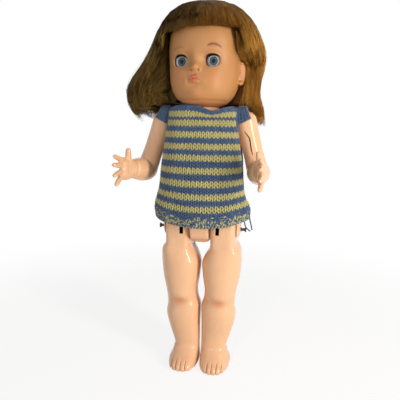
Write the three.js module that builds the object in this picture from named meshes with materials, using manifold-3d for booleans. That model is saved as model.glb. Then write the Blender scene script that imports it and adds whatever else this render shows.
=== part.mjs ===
// A walking doll of hard plastic with a soft vinyl head, sleeping eyes, rooted hair and a knitted top.
// Millimetres. +Z is up, the doll looks along -Y and its own left hand is at +X.
// The origin is on the floor under the middle of the whole doll, with its hair and its hands.
import * as THREE from "three";
import { mergeVertices } from "three/addons/utils/BufferGeometryUtils.js";
import Module from "manifold-3d";

const wasm = await Module();
wasm.setup();

// The body is modelled about its own middle, which stands this far from the origin.
const middleX = 13.1;
const middleY = 7.4;

// Sizes that the whole doll is driven by.
const wall = 2.8; // thickness of the moulded plastic
const gap = 0.35; // running and resting clearance between neighbours
const hipHeight = 225; // sole to hip pin
const crotchDrop = 20.5; // hip pin down to the underside of the body
const crotchHeight = hipHeight - crotchDrop;
const shoulderHeight = 388; // sole to the arm's axis
const neckRise = 21; // arm's axis up to the seat of the head
const neckHeight = shoulderHeight + neckRise;
const chinRise = 5.5; // seat of the head up to the underside of the chin
const chinHeight = neckHeight + chinRise;
const headHeight = 133.5; // chin to the top of the scalp

// Body
const crotchHalf = 14; // half the width of the body between the legs
const hipHalf = 60.5; // half the width over the hip cheeks
const cheekWall = 5.2; // thickness of a hip cheek
const cheekRadius = 20.5; // the cheek's lower edge runs round the pin at this radius
const waistHalf = 53;
const chestHalf = 50.5;
const bellyFront = 42;
const seatBack = 35;
const socketRadius = 31; // hollow that the leg's round top turns in
const neckRadius = 21;
const neckBossRadius = 15.5;
const neckBossHeight = 2.6;
const shoulderFace = 49.5; // distance of the arm's seat from the middle
const shoulderHole = 8.5;

// Legs
const legInner = crotchHalf + 1.2; // inner side of the leg's round top
const legOuter = hipHalf - cheekWall - 1; // outer side of the leg's round top
const lugRadius = socketRadius - 1.5;
const thighHalf = 31;
const thighFront = 32.5;
const kneeHeight = 111;
const kneeHalf = 25;
const calfHeight = 86;
const calfHalf = 27.5;
const calfBack = 31;
const ankleHeight = 33;
const ankleHalf = 20.3;
const footHalf = 24;
const footFront = 46;
const footBack = 24;
const legGap = 1; // clear of the doll's middle plane

// Hip pins, levers and the cross bar that makes the head turn
const pinRadius = 2.6;
const pinProud = 8; // how far a pin stands out of the hip
const pinFlangeRadius = 3.9;
const pinFlangeThick = 2.4;
const pinInnerEnd = 7;
const leverX = 27.5;
const leverThick = 2.4;
const leverWidth = 10;
const slotWidth = 5.6;
const slotBelowPin = 5;
const crossbarRise = 40; // hip pin up to the cross bar
const crossbarHeight = hipHeight + crossbarRise;
const crossbarHalf = 36;
const crossbarRadius = 1.6;
const forkPlay = 1.3;
const legSwing = 20; // degrees each way

// Neck
const shaftRadius = 2.2;
const plugRadius = 22.4;
const plugThick = 3.4;
const headHole = neckBossRadius + 1.4;
const springRadius = 6.4;
const springWire = 0.7;
const springTurns = 4;
const springLength = 16;

// Arms
const shoulderRadius = 16.5;
const shoulderX = 62.5;
const elbowOut = { left: 83, right: 92 }; // distance of each elbow from the middle
const elbowBack = 6;
const elbowDrop = 75; // arm's axis down to the elbow
const elbowHeight = shoulderHeight - elbowDrop;
const elbowRadius = 16.8;
const forearmLength = 46;
const forearmTurn = { left: 6, right: 12 }; // degrees that each forearm points outwards
const forearmRise = 5; // degrees that the forearms point up
const wristRadius = 13.4;
const palmLength = 28;
const palmHalf = 16.2;
const palmThick = 7;
const fingerRadius = 3.9;
const seamGap = 0.3;
const hookWire = 1.2;
const hookEye = 29; // the inner end of the arm's hook
const hookDisc = 6.4;
const elasticRadius = 1.7;

// Head and face
const headHalf = 51.5;
const headFront = 52;
const headBack = 58;
const eyeRise = 55; // chin up to the eyes
const eyeHeight = chinHeight + eyeRise;
const eyeX = 23;
const eyeRadius = 12.4;
const eyeCentreY = -30;
const eyeGap = 0.7; // room for the eye to roll in its cup
const eyeOpenHalf = 9.4;
const eyeOpenHalfHeight = 8.3;
const irisRadius = 6.3;
const irisDome = 2.6; // how far the iris stands out of its seat
const lashLength = 1.4;
const lashRoot = 0.5;
const lashTilt = 34; // degrees that the lashes stand above the iris
const lashThick = 0.7;
const cupWall = 1.3;
const axleRadius = 1;
const weightRadius = 3.6;
const headTurn = -6; // degrees that the head was pressed on away from straight ahead
const noseRise = 43.5; // chin up to the tip of the nose
const noseHeight = chinHeight + noseRise;
const mouthRise = 27; // chin up to the mouth
const mouthHeight = chinHeight + mouthRise;
const earRise = 42.5; // chin up to the middle of the ears
const earHeight = chinHeight + earRise;

// Hair
const fringeRise = 91.5; // chin up to the cut edge of the fringe
const fringeHeight = chinHeight + fringeRise;
const hairDrop = 26.5; // chin down to the ends of the hair
const hairEnd = chinHeight - hairDrop;
const hairRoot = 55.5; // below this height above the chin the hair hangs free
const hairSplit = chinHeight + hairRoot;
const hairBehind = 38; // the lowest hair keeps this far behind the middle

// Knitted top
const knitThick = 3.4;
const knitEase = 1.4; // air between the body and the knitting
const hemRise = 10.5; // hip pin up to the hem
const hemHeight = hipHeight + hemRise;
const hemHalf = 75;
const armholeRadius = 17;
const armholeDeep = 56; // how far the armhole reaches below the shoulder's axis
const neckHoleHalf = 32;
const sleeveDrop = 5; // how far the bands at the armholes reach below the shoulder's axis
const yarnRadius = 1;

const skinPlastic = new THREE.MeshStandardMaterial({ color: 0xe3a987, roughness: 0.28 });
const skinVinyl = new THREE.MeshStandardMaterial({ color: 0xdca077, roughness: 0.5 });
const hairFibre = new THREE.MeshStandardMaterial({ color: 0x7a5226, roughness: 0.55 });
const steel = new THREE.MeshStandardMaterial({ color: 0x8f9092, roughness: 0.35, metalness: 1 });
const darkSteel = new THREE.MeshStandardMaterial({ color: 0x2b2724, roughness: 0.5, metalness: 1 });
const lead = new THREE.MeshStandardMaterial({ color: 0x5c6066, roughness: 0.7, metalness: 1 });
const rubber = new THREE.MeshStandardMaterial({ color: 0xb99b6b, roughness: 0.8 });
const eyeWhite = new THREE.MeshStandardMaterial({ color: 0xf1f1ee, roughness: 0.12 });
const irisBlue = new THREE.MeshStandardMaterial({ color: 0x5e7690, roughness: 0.1 });
const lashBlack = new THREE.MeshStandardMaterial({ color: 0x16100c, roughness: 0.7 });
const plugPlastic = new THREE.MeshStandardMaterial({ color: 0xc98f6f, roughness: 0.5 });
const cupPlastic = new THREE.MeshStandardMaterial({ color: 0xd8d2c4, roughness: 0.5 });
const knitBlue = new THREE.MeshStandardMaterial({ color: 0x43649b, roughness: 0.9 });

// A closed geometry as a solid, turned right way out if its faces point inwards.
function solid(geometry) {
  const bare = geometry.index ? geometry.toNonIndexed() : geometry.clone();
  for (const name of Object.keys(bare.attributes)) {
    if (name !== "position") bare.deleteAttribute(name);
  }
  const merged = mergeVertices(bare, 1e-4);
  const triVerts = new Uint32Array(merged.index.array);
  const vertProperties = merged.attributes.position.array;
  const made = new wasm.Manifold(new wasm.Mesh({ numProp: 3, vertProperties, triVerts }));
  if (made.volume() >= 0) return made;
  for (let i = 0; i < triVerts.length; i += 3) {
    [triVerts[i + 1], triVerts[i + 2]] = [triVerts[i + 2], triVerts[i + 1]];
  }
  return new wasm.Manifold(new wasm.Mesh({ numProp: 3, vertProperties, triVerts }));
}

function geometryOf(made) {
  const mesh = made.getMesh();
  const points = new Float32Array(mesh.numVert * 3);
  for (let i = 0; i < mesh.numVert; i++) {
    for (let k = 0; k < 3; k++) points[3 * i + k] = mesh.vertProperties[mesh.numProp * i + k];
  }
  const geometry = new THREE.BufferGeometry();
  geometry.setAttribute("position", new THREE.BufferAttribute(points, 3));
  geometry.setIndex(new THREE.BufferAttribute(new Uint32Array(mesh.triVerts), 1));
  geometry.computeVertexNormals();
  return geometry;
}

function part(name, made, material) {
  const mesh = new THREE.Mesh(geometryOf(made), material);
  mesh.name = name;
  return mesh;
}

function box(x0, x1, y0, y1, z0, z1) {
  const shape = new THREE.BoxGeometry(x1 - x0, y1 - y0, z1 - z0);
  return solid(shape.translate((x0 + x1) / 2, (y0 + y1) / 2, (z0 + z1) / 2));
}

// A rod or a cone along X, Y or Z between two places on that axis.
function rod(axis, from, to, radius, centre = [0, 0], sides = 16, endRadius = radius) {
  const shape = new THREE.CylinderGeometry(endRadius, radius, to - from, sides);
  const middle = (from + to) / 2;
  if (axis === "x") shape.rotateZ(-Math.PI / 2).translate(middle, centre[0], centre[1]);
  if (axis === "y") shape.translate(centre[0], middle, centre[1]);
  if (axis === "z") shape.rotateX(Math.PI / 2).translate(centre[0], centre[1], middle);
  return solid(shape);
}

function ball(centre, rx, ry, rz, around = 16, down = 10) {
  const shape = new THREE.SphereGeometry(1, around, down).rotateX(Math.PI / 2);
  return solid(shape.scale(rx, ry, rz).translate(...centre));
}

// A wire along smooth points.
function wire(points, radius, steps, sides = 8) {
  const section = new THREE.Shape();
  for (let k = 0; k < sides; k++) {
    const turn = (2 * Math.PI * k) / sides;
    const place = [radius * Math.cos(turn), radius * Math.sin(turn)];
    if (k) section.lineTo(...place);
    else section.moveTo(...place);
  }
  const path = new THREE.CatmullRomCurve3(points.map((p) => new THREE.Vector3(...p)));
  return solid(new THREE.ExtrudeGeometry(section, { steps, extrudePath: path }));
}

// Rows of numbers, filled in by a smooth curve through them.
function between(rows, steps) {
  const filled = [];
  for (let i = 0; i + 1 < rows.length; i++) {
    const near = [rows[Math.max(i - 1, 0)], rows[i], rows[i + 1], rows[Math.min(i + 2, rows.length - 1)]];
    for (let s = 0; s < steps; s++) {
      const t = s / steps;
      const row = {};
      for (const key of Object.keys(rows[i])) {
        const [a, b, c, d] = near.map((r) => r[key]);
        row[key] =
          b + 0.5 * t * (c - a + t * (2 * a - 5 * b + 4 * c - d + t * (3 * (b - c) + d - a)));
      }
      filled.push(row);
    }
  }
  return [...filled, rows[rows.length - 1]];
}

// A skin over rings of equal length, closed at both ends by a middle point.
function skin(rings) {
  const sides = rings[0].length;
  const middle = (ring) => ring.reduce((a, p) => a.add(p), new THREE.Vector3()).divideScalar(sides);
  const points = [...rings.flat(), middle(rings[0]), middle(rings[rings.length - 1])];
  const faces = [];
  for (let i = 0; i + 1 < rings.length; i++) {
    for (let k = 0; k < sides; k++) {
      const a = i * sides + k;
      const b = i * sides + ((k + 1) % sides);
      faces.push(a, b, b + sides, a, b + sides, a + sides);
    }
  }
  const last = (rings.length - 1) * sides;
  for (let k = 0; k < sides; k++) {
    const next = (k + 1) % sides;
    faces.push(rings.length * sides, next, k);
    faces.push(rings.length * sides + 1, last + k, last + next);
  }
  const geometry = new THREE.BufferGeometry().setFromPoints(points);
  geometry.setIndex(faces);
  return solid(geometry);
}

const power = (value, exponent) => Math.sign(value) * Math.abs(value) ** exponent;

// One level ring: x is its middle, inner and outer its reach to each side, front and back its depth.
function levelRing(row, sides, shrink = 0) {
  const ring = [];
  for (let k = 0; k < sides; k++) {
    const turn = (2 * Math.PI * (k + 0.5)) / sides;
    const across = power(Math.cos(turn), 2 / row.square);
    const along = power(Math.sin(turn), 2 / row.square);
    const reachX = Math.max(1, (across > 0 ? row.outer : row.inner) - shrink);
    const reachY = Math.max(1, (along > 0 ? row.back : row.front) - shrink);
    ring.push(new THREE.Vector3(row.x + across * reachX, along * reachY, row.z));
  }
  return ring;
}

const bump = (distance, width) => Math.exp(-((distance / width) ** 2));

// The leg on the doll's left. Its round top turns on the hip pin.
const lugMiddle = (legInner + legOuter) / 2;
const lugHalf = (legOuter - legInner) / 2;

function legRow(z, half, front, back, inward = legGap, square = 2.2) {
  return { z, x: inward + half, inner: half, outer: half, front, back, square };
}

function legRows() {
  const thighHeight = hipHeight - 55;
  const shin = (share) => ankleHeight + share * (calfHeight - ankleHeight);
  const thigh = (share) => kneeHeight + share * (thighHeight - kneeHeight);
  const rows = [
    legRow(0, footHalf - 4, footFront - 6, footBack - 4, legGap + 4, 2.5),
    legRow(4, footHalf, footFront - 0.5, footBack - 0.5, legGap, 2.5),
    legRow(11, footHalf, footFront - 2, footBack + 0.5, legGap, 2.4),
    legRow(18, footHalf - 2, footFront - 12, footBack, legGap + 0.4, 2.3),
    legRow(ankleHeight - 7, ankleHalf + 0.7, footFront - 24, footBack - 1.5, legGap + 0.6),
    legRow(ankleHeight, ankleHalf, 17, 21, legGap + 0.6),
    legRow(shin(0.35), ankleHalf + 3, 18, 22.5, legGap + 0.5),
    legRow(shin(0.72), calfHalf - 1.4, 22.5, calfBack - 2, legGap + 0.4),
    legRow(calfHeight, calfHalf, 25, calfBack, legGap),
    legRow(kneeHeight - 11, calfHalf - 1, 25.5, calfBack - 3, legGap),
    legRow(kneeHeight, kneeHalf, 25.4, 25, legGap + 3.4),
    legRow(thigh(0.25), kneeHalf + 0.2, 28.5, 25.6, legGap + 5),
    legRow(thigh(0.6), thighHalf - 2.2, 31, 30, legGap + 2),
    legRow(thighHeight, thighHalf, thighFront, 33, legGap + 0.2),
    legRow(hipHeight - 40, thighHalf - 1.6, thighFront - 0.3, 33.5, legGap + 3.4, 2.5),
    legRow(hipHeight - 30, thighHalf - 4.4, thighFront - 1.2, 32.5, legGap + 7.5, 2.8),
    legRow(hipHeight - 21, lugHalf - 0.2, lugRadius - 1, lugRadius - 0.5, legInner + 0.2, 4.4),
  ];
  return rows;
}

function lugRows() {
  const rows = [];
  const flat = { x: lugMiddle, inner: lugHalf, outer: lugHalf, square: 5 };
  rows.push({ ...flat, z: hipHeight - 26, front: lugRadius - 0.5, back: lugRadius });
  rows.push({ ...flat, z: hipHeight - 14, front: lugRadius, back: lugRadius });
  for (let step = 0; step <= 5; step++) {
    const rise = (Math.PI / 2) * Math.min(step / 5, 0.92);
    const reach = lugRadius * Math.cos(rise);
    rows.push({ ...flat, z: hipHeight + lugRadius * Math.sin(rise), front: reach, back: reach });
  }
  return rows;
}

function toe(x, y, radius) {
  return ball([x, -y, radius + 0.4], radius, radius * 1.25, radius, 8, 5);
}

function legSolid() {
  const legSkin = legRows().map((row) => levelRing(row, 18));
  const lug = lugRows().map((row) => levelRing(row, 16));
  const cheekRoom = rod("x", legOuter + 0.2, 100, cheekRadius + 1.4, [0, hipHeight], 24);
  const middleRoom = rod("x", -10, legInner - 0.2, 34.5, [0, hipHeight], 24);
  let leg = skin(legSkin).subtract(cheekRoom).subtract(middleRoom).add(skin(lug));
  const toeInner = legGap + 9.6;
  const toeStep = (2 * footHalf - 17) / 4;
  leg = leg.add(toe(toeInner, footFront - 5.5, 8));
  for (let k = 1; k <= 4; k++) {
    leg = leg.add(toe(toeInner + 2 + k * toeStep, footFront - 3.6 - 0.75 * k * k, 5.9 - 0.35 * k));
  }
  leg = leg.intersect(box(legGap - 0.2, 100, -100, 100, 0, 400));
  const hollowRows = legRows().filter((row) => row.z >= ankleHeight && row.z < hipHeight - 44);
  const neck = { x: lugMiddle, inner: lugHalf - 2, outer: lugHalf - 2, front: 19, back: 19, square: 3 };
  hollowRows.push({ ...neck, z: hipHeight - 34 }, { ...neck, z: hipHeight - 2 });
  const hollow = skin(hollowRows.map((row) => levelRing(row, 10, wall)));
  const slotFoot = hipHeight - slotBelowPin;
  const slotTop = hipHeight + lugRadius + 10;
  const x0 = leverX - slotWidth / 2;
  const slot = box(x0, x0 + slotWidth, -lugRadius - 10, -leverWidth / 2 - 1, slotFoot, slotTop);
  const half = leverThick / 2;
  const leverSeat = box(leverX - half, leverX + half, -leverWidth, leverWidth / 2, slotFoot, slotTop);
  const bore = rod("x", 0, hipHalf, pinRadius + gap, [0, hipHeight]);
  return leg.simplify(0.03).subtract(hollow).subtract(slot).subtract(leverSeat).subtract(bore);
}

function leverSolid() {
  const swing = THREE.MathUtils.degToRad(legSwing);
  const rise = crossbarHeight - hipHeight;
  const top = hipHeight + rise / Math.cos(swing) + crossbarRadius + 4;
  const x0 = leverX - leverThick / 2;
  const x1 = leverX + leverThick / 2;
  const forkHalf = crossbarRadius + forkPlay;
  const strap = box(x0, x1, -leverWidth / 2, leverWidth / 2, hipHeight - slotBelowPin, top);
  const fork = box(x0 - 1, x1 + 1, -forkHalf, forkHalf, crossbarHeight - crossbarRadius - 2.5, top + 1);
  const hole = rod("x", x0 - 1, x1 + 1, pinRadius + gap, [0, hipHeight]);
  return strap.subtract(fork).subtract(hole);
}

function hipPinSolid() {
  const end = hipHalf + pinProud;
  const shaft = rod("x", pinInnerEnd, end - pinFlangeThick / 2, pinRadius, [0, hipHeight]);
  const flange = rod("x", end - pinFlangeThick, end, pinRadius + 0.4, [0, hipHeight], 16, pinFlangeRadius);
  const recess = rod("x", end - 1.2, end + 1, 1.6, [0, hipHeight], 12, 2.6);
  return shaft.add(flange).subtract(recess);
}

function makeLeg(side) {
  const leg = new THREE.Group();
  const whole = legSolid();
  const front = whole.intersect(box(-10, 100, -100, 0, -10, 400));
  const back = whole.intersect(box(-10, 100, 0, 100, -10, 400));
  leg.add(part(`leg_${side}_front`, front, skinPlastic));
  leg.add(part(`leg_${side}_back`, back, skinPlastic));
  leg.add(part(`leg_lever_${side}`, leverSolid(), darkSteel));
  leg.add(part(`hip_pin_${side}`, hipPinSolid(), steel));
  if (side === "right") leg.scale.x = -1;
  return leg;
}

// The body, from the underside up to the seat of the head.
function bodyRow(z, half, front, back, square = 2.5) {
  return { z, x: 0, inner: half, outer: half, front, back, square };
}

function bodyRows() {
  const rise = shoulderHeight - hipHeight;
  const at = (share) => hipHeight + share * rise;
  return between(
    [
      bodyRow(crotchHeight + 4, hipHalf - 12, 17, 19),
      bodyRow(crotchHeight + 8, hipHalf - 3.5, 28, 28),
      bodyRow(hipHeight - 5, hipHalf - 0.6, 34, 34, 2.7),
      bodyRow(at(0.05), hipHalf, 37, seatBack + 1, 2.7),
      bodyRow(at(0.18), hipHalf - 1.5, bellyFront - 1, seatBack, 2.6),
      bodyRow(at(0.36), waistHalf + 2.5, bellyFront, 28),
      bodyRow(at(0.55), waistHalf, bellyFront - 3.5, 26),
      bodyRow(at(0.78), chestHalf, 35, 28.5),
      bodyRow(at(0.94), chestHalf + 0.6, 31, 27.5),
      bodyRow(shoulderHeight + 5, chestHalf - 4, 27, 25),
      bodyRow(shoulderHeight + 11, 39, 23.5, 23),
      bodyRow(neckHeight - 5, 28, 21.5, 22, 2.2),
      bodyRow(neckHeight, neckRadius, neckRadius, neckRadius, 2),
    ],
    2,
  ).filter((row, i) => i % 2 === 0 || (row.z > hipHeight + 20 && row.z < shoulderHeight - 20));
}

function crotchRows() {
  const z = crotchHeight;
  const row = (height, half, front, back) => bodyRow(height, half, front, back, 3.5);
  return [
    row(z, crotchHalf - 5, 13, 14),
    row(z + 1.5, crotchHalf - 1.6, 19, 20),
    row(z + 5, crotchHalf, 24, 26),
    row(hipHeight, crotchHalf, 32, 33),
    row(hipHeight + socketRadius + 6, crotchHalf, 34, 30),
  ];
}

function socket(side) {
  const x0 = side > 0 ? crotchHalf : cheekWall - hipHalf;
  const x1 = side > 0 ? hipHalf - cheekWall : -crotchHalf;
  const round = rod("x", x0, x1, socketRadius, [0, hipHeight], 24);
  const below = box(x0, x1, -60, 60, hipHeight - 60, hipHeight);
  const mouth = box(x0, x1, -60, -socketRadius + 8, hipHeight - 60, hipHeight + 8);
  const swing = THREE.MathUtils.degToRad(legSwing);
  const slotY = (leverWidth / 2) * Math.cos(swing) + (socketRadius + wall + 1) * Math.tan(swing) + 1.5;
  const slotX = leverX * side;
  const half = leverThick / 2 + 1.2;
  const slot = box(slotX - half, slotX + half, -slotY, slotY, hipHeight, hipHeight + socketRadius + 12);
  return round.add(below).add(mouth).add(slot);
}

// What is cut away round a hip cheek, so that its lower edge is round about the pin.
function cheekTrim(side) {
  const x0 = side > 0 ? crotchHalf : -100;
  const x1 = side > 0 ? 100 : -crotchHalf;
  const round = rod("x", x0 - 1, x1 + 1, cheekRadius, [0, hipHeight], 24);
  const top = box(x0 - 1, x1 + 1, -socketRadius - 7, socketRadius + 6, hipHeight + 19, hipHeight + 20);
  const cheek = wasm.Manifold.hull([round, top]);
  return box(x0, x1, -80, 80, hipHeight - 60, hipHeight + 19.5).subtract(cheek);
}

function shoulderCut(side) {
  const face = shoulderFace - gap;
  const seat = rod("x", face, face + 30, shoulderRadius + 2.5, [0, shoulderHeight], 24);
  const hole = rod("x", 20, face + 1, shoulderHole, [0, shoulderHeight]);
  const cut = seat.add(hole);
  return side > 0 ? cut : mirrored(cut);
}

function mirrored(made) {
  return solid(geometryOf(made).scale(-1, 1, 1));
}

function bodySolid() {
  const trunk = skin(bodyRows().map((row) => levelRing(row, 22)));
  const middle = skin(crotchRows().map((row) => levelRing(row, 16)));
  const outside = trunk.subtract(cheekTrim(1)).subtract(cheekTrim(-1)).add(middle).simplify(0.03);
  const hollowRows = bodyRows().filter((row, i) => i % 2 && row.z > hipHeight + 9 && row.z < neckHeight - 4);
  hollowRows.push(bodyRow(neckHeight - wall, neckRadius - 1, neckRadius - 1, neckRadius - 1, 2));
  hollowRows.unshift(bodyRow(hipHeight + 8, hipHalf - 4, 33, 32, 2.7));
  const hollow = skin(hollowRows.map((row) => levelRing(row, 14, wall)));
  const hipWalls = [1, -1].map((side) => {
    const x0 = side > 0 ? crotchHalf : cheekWall - hipHalf;
    const x1 = side > 0 ? hipHalf - cheekWall : -crotchHalf;
    const roof = rod("x", x0 - wall, x1 + wall, socketRadius + wall, [0, hipHeight], 24);
    const eaves = box(x0 - wall, x1 + wall, -60, -socketRadius + 8 + wall, hipHeight, hipHeight + 8 + wall);
    return roof.add(eaves).add(box(x0 - wall, x1 + wall, -60, 60, hipHeight - 60, hipHeight));
  });
  const cavity = hollow.subtract(hipWalls[0]).subtract(hipWalls[1]);
  const middleRows = crotchRows().slice(1).map((row, i) => ({ ...row, z: i ? row.z : row.z + wall }));
  const middleHollow = skin(middleRows.map((row) => levelRing(row, 12, wall)));
  const bossTop = neckHeight + neckBossHeight;
  const boss = rod("z", neckHeight - 2, bossTop, neckBossRadius, [0, 0], 24);
  const shaftHole = rod("z", neckHeight - 20, bossTop + 2, shaftRadius + gap, [0, 0], 12);
  const pins = [1, -1].map((side) => {
    const from = side > 0 ? pinInnerEnd : -hipHalf - 5;
    const to = side > 0 ? hipHalf + 5 : -pinInnerEnd;
    return rod("x", from, to, pinRadius, [0, hipHeight]);
  });
  const cuts = [cavity, middleHollow, shaftHole, ...pins, socket(1), socket(-1), shoulderCut(1), shoulderCut(-1)];
  return cuts.reduce((body, cut) => body.subtract(cut), outside.add(boss));
}

function makeBody() {
  const body = new THREE.Group();
  const whole = bodySolid();
  const front = whole.intersect(box(-100, 100, -100, 0, 0, 500));
  const back = whole.intersect(box(-100, 100, 0, 100, 0, 500));
  body.add(part("body_front", front, skinPlastic));
  body.add(part("body_back", back, skinPlastic));
  return body;
}

// The shaft that the head turns on, with the spring that draws the head down.
function makeNeck() {
  const neck = new THREE.Group();
  const springTop = neckHeight - wall - gap;
  const springFoot = springTop - springLength;
  const plugFoot = neckHeight + gap + wall + gap;
  const shaftTop = plugFoot + plugThick + 10;
  const shaft = rod("z", crossbarHeight - 5, shaftTop, shaftRadius, [0, 0], 12);
  const pinHole = (z) => rod("x", -9, 9, 0.9, [0, z], 8);
  const lowPin = springFoot - 3.4;
  const highPin = plugFoot + plugThick + 4.4;
  const barHole = rod("x", -9, 9, crossbarRadius - 0.6, [0, crossbarHeight], 8);
  const drilled = [pinHole(lowPin), pinHole(highPin), barHole].reduce((all, hole) => all.subtract(hole), shaft);
  neck.add(part("neck_shaft", drilled, steel));
  neck.add(part("neck_cotter", rod("x", -7, 7, 0.9, [0, lowPin], 8), steel));
  neck.add(part("head_cotter", rod("x", -7, 7, 0.9, [0, highPin], 8), steel));
  const ring = (z0, z1, outer) =>
    rod("z", z0, z1, outer, [0, 0], 20).subtract(rod("z", z0 - 1, z1 + 1, shaftRadius + gap, [0, 0], 12));
  neck.add(part("neck_washer", ring(springFoot - 1.9, springFoot - 0.7, 8), steel));
  neck.add(part("head_washer", ring(plugFoot + plugThick + gap, plugFoot + plugThick + gap + 1.6, 9), steel));
  const coil = [];
  const turns = springTurns * 9;
  for (let k = 0; k <= turns; k++) {
    const turn = (2 * Math.PI * k) / 9;
    coil.push([
      springRadius * Math.cos(turn),
      springRadius * Math.sin(turn),
      springFoot + springWire + ((springLength - 2 * springWire) * k) / turns,
    ]);
  }
  neck.add(part("neck_spring", wire(coil, springWire, turns, 5), steel));
  const plug = ring(plugFoot, plugFoot + plugThick, plugRadius).subtract(
    rod("z", plugFoot - 1, plugFoot + 1.4, neckBossRadius - 2, [0, 0], 20),
  );
  neck.add(part("head_plug", plug, plugPlastic));
  const thin = crossbarRadius - 0.6;
  const shoulderAt = shaftRadius + gap;
  const bar = rod("x", -crossbarHalf, -shoulderAt, crossbarRadius, [0, crossbarHeight], 10)
    .add(rod("x", shoulderAt, crossbarHalf, crossbarRadius, [0, crossbarHeight], 10))
    .add(rod("x", -shaftRadius - 2, shaftRadius + 2, thin, [0, crossbarHeight], 8));
  neck.add(part("crossbar", bar, steel));
  return neck;
}

// An arm: an upper arm and a forearm that meet in a fold at the elbow, with a spread hand.
const upwards = new THREE.Vector3(0, 0, 1);
const shoulder = new THREE.Vector3(shoulderX, 0, shoulderHeight);

// Where an arm bends, and the ways that its forearm, its thumb's side and its palm face.
function armWays(side) {
  const turned = THREE.MathUtils.degToRad(forearmTurn[side]);
  const rise = THREE.MathUtils.degToRad(forearmRise);
  const level = new THREE.Vector3(Math.sin(turned), -Math.cos(turned), 0);
  const ahead = level.clone().multiplyScalar(Math.cos(rise)).addScaledVector(upwards, Math.sin(rise));
  const thumbward = level.clone().multiplyScalar(-Math.sin(rise)).addScaledVector(upwards, Math.cos(rise));
  const palmward = new THREE.Vector3().crossVectors(ahead, thumbward);
  return { elbow: new THREE.Vector3(elbowOut[side], elbowBack, elbowHeight), ahead, thumbward, palmward };
}

// A limb of rings square to its middle line. Each row is a place with two half widths.
function limb(rows, sideways, sides, shrink = 0) {
  const rings = rows.map((row, i) => {
    const along = rows[Math.min(i + 1, rows.length - 1)].at
      .clone()
      .sub(rows[Math.max(i - 1, 0)].at)
      .normalize();
    const u = sideways.clone().addScaledVector(along, -sideways.dot(along)).normalize();
    const v = new THREE.Vector3().crossVectors(along, u);
    const ring = [];
    for (let k = 0; k < sides; k++) {
      const turn = (2 * Math.PI * (k + 0.5)) / sides;
      const a = Math.max(0.6, row.wide - shrink) * Math.cos(turn);
      const b = Math.max(0.6, row.deep - shrink) * Math.sin(turn);
      ring.push(row.at.clone().addScaledVector(u, a).addScaledVector(v, b));
    }
    return ring;
  });
  return skin(rings);
}

function upperArmRows({ elbow }) {
  const down = elbow.clone().sub(shoulder).normalize();
  const reach = elbow.distanceTo(shoulder);
  const row = (distance, wide, deep) => ({ at: shoulder.clone().addScaledVector(down, distance), wide, deep });
  const r = shoulderRadius;
  const e = elbowRadius;
  return [
    row(-r * 0.98, r * 0.2, r * 0.2),
    row(-r * 0.82, r * 0.57, r * 0.57),
    row(-r * 0.5, r * 0.87, r * 0.87),
    row(0, r, r),
    row(reach * 0.3, r * 0.94, r * 0.97),
    row(reach * 0.6, r * 0.9, r * 0.95),
    row(reach * 0.85, e * 0.94, e * 0.98),
    row(reach + e * 0.1, e * 0.95, e),
    row(reach + e * 0.6, e * 0.74, e * 0.78),
    row(reach + e * 0.95, e * 0.3, e * 0.3),
  ];
}

function forearmRows({ elbow, ahead }) {
  const row = (distance, wide, deep) => ({ at: elbow.clone().addScaledVector(ahead, distance), wide, deep });
  const e = elbowRadius;
  const wrist = forearmLength;
  return [
    row(-e * 0.98, e * 0.3, e * 0.3),
    row(-e * 0.7, e * 0.74, e * 0.74),
    row(0, e, e * 1.02),
    row(wrist * 0.35, e * 1.02, e * 1.08),
    row(wrist * 0.7, wristRadius * 1.06, wristRadius * 1.2),
    row(wrist * 0.95, wristRadius * 0.8, wristRadius * 1.06),
    row(wrist + palmLength * 0.15, palmThick * 1.28, palmHalf * 0.92),
    row(wrist + palmLength * 0.5, palmThick * 1.1, palmHalf * 1.04),
    row(wrist + palmLength * 0.85, palmThick * 0.86, palmHalf),
    row(wrist + palmLength, palmThick * 0.5, palmHalf * 0.82),
  ];
}

// A finger from its knuckle, bent a little towards the palm.
function finger(from, direction, palmward, length, radius) {
  const end = from.clone().addScaledVector(direction, length);
  const thin = [0.9, 1.05, 0.95, 0.86, 0.62, 0.24];
  const rows = [-0.35, 0, 0.45, 0.8, 0.95, 1].map((share, i) => ({
    at: from.clone().lerp(end, share).addScaledVector(palmward, 3.2 * Math.max(0, share) ** 2),
    wide: radius * thin[i],
    deep: radius * thin[i],
  }));
  return limb(rows, palmward, 6);
}

function handSolid({ elbow, ahead, thumbward, palmward }) {
  const knuckles = elbow.clone().addScaledVector(ahead, forearmLength + palmLength - 2);
  const spread = [
    { rise: 11.6, tilt: 12, length: 26 },
    { rise: 4.2, tilt: 1, length: 27.5 },
    { rise: -3.6, tilt: -16, length: 26 },
    { rise: -10.8, tilt: -35, length: 23 },
  ];
  const fingers = spread.map(({ rise, tilt, length }) => {
    const lean = THREE.MathUtils.degToRad(tilt);
    const way = ahead.clone().multiplyScalar(Math.cos(lean)).addScaledVector(thumbward, Math.sin(lean));
    return finger(knuckles.clone().addScaledVector(thumbward, rise), way, palmward, length, fingerRadius);
  });
  const thumbRoot = elbow
    .clone()
    .addScaledVector(ahead, forearmLength + palmLength * 0.42)
    .addScaledVector(thumbward, palmHalf * 0.66)
    .addScaledVector(palmward, 2);
  const thumbWay = ahead.clone().multiplyScalar(0.36).addScaledVector(thumbward, 0.93).normalize();
  fingers.push(finger(thumbRoot, thumbWay, palmward, 20, fingerRadius * 1.2));
  return fingers.reduce((all, one) => all.add(one));
}

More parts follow.
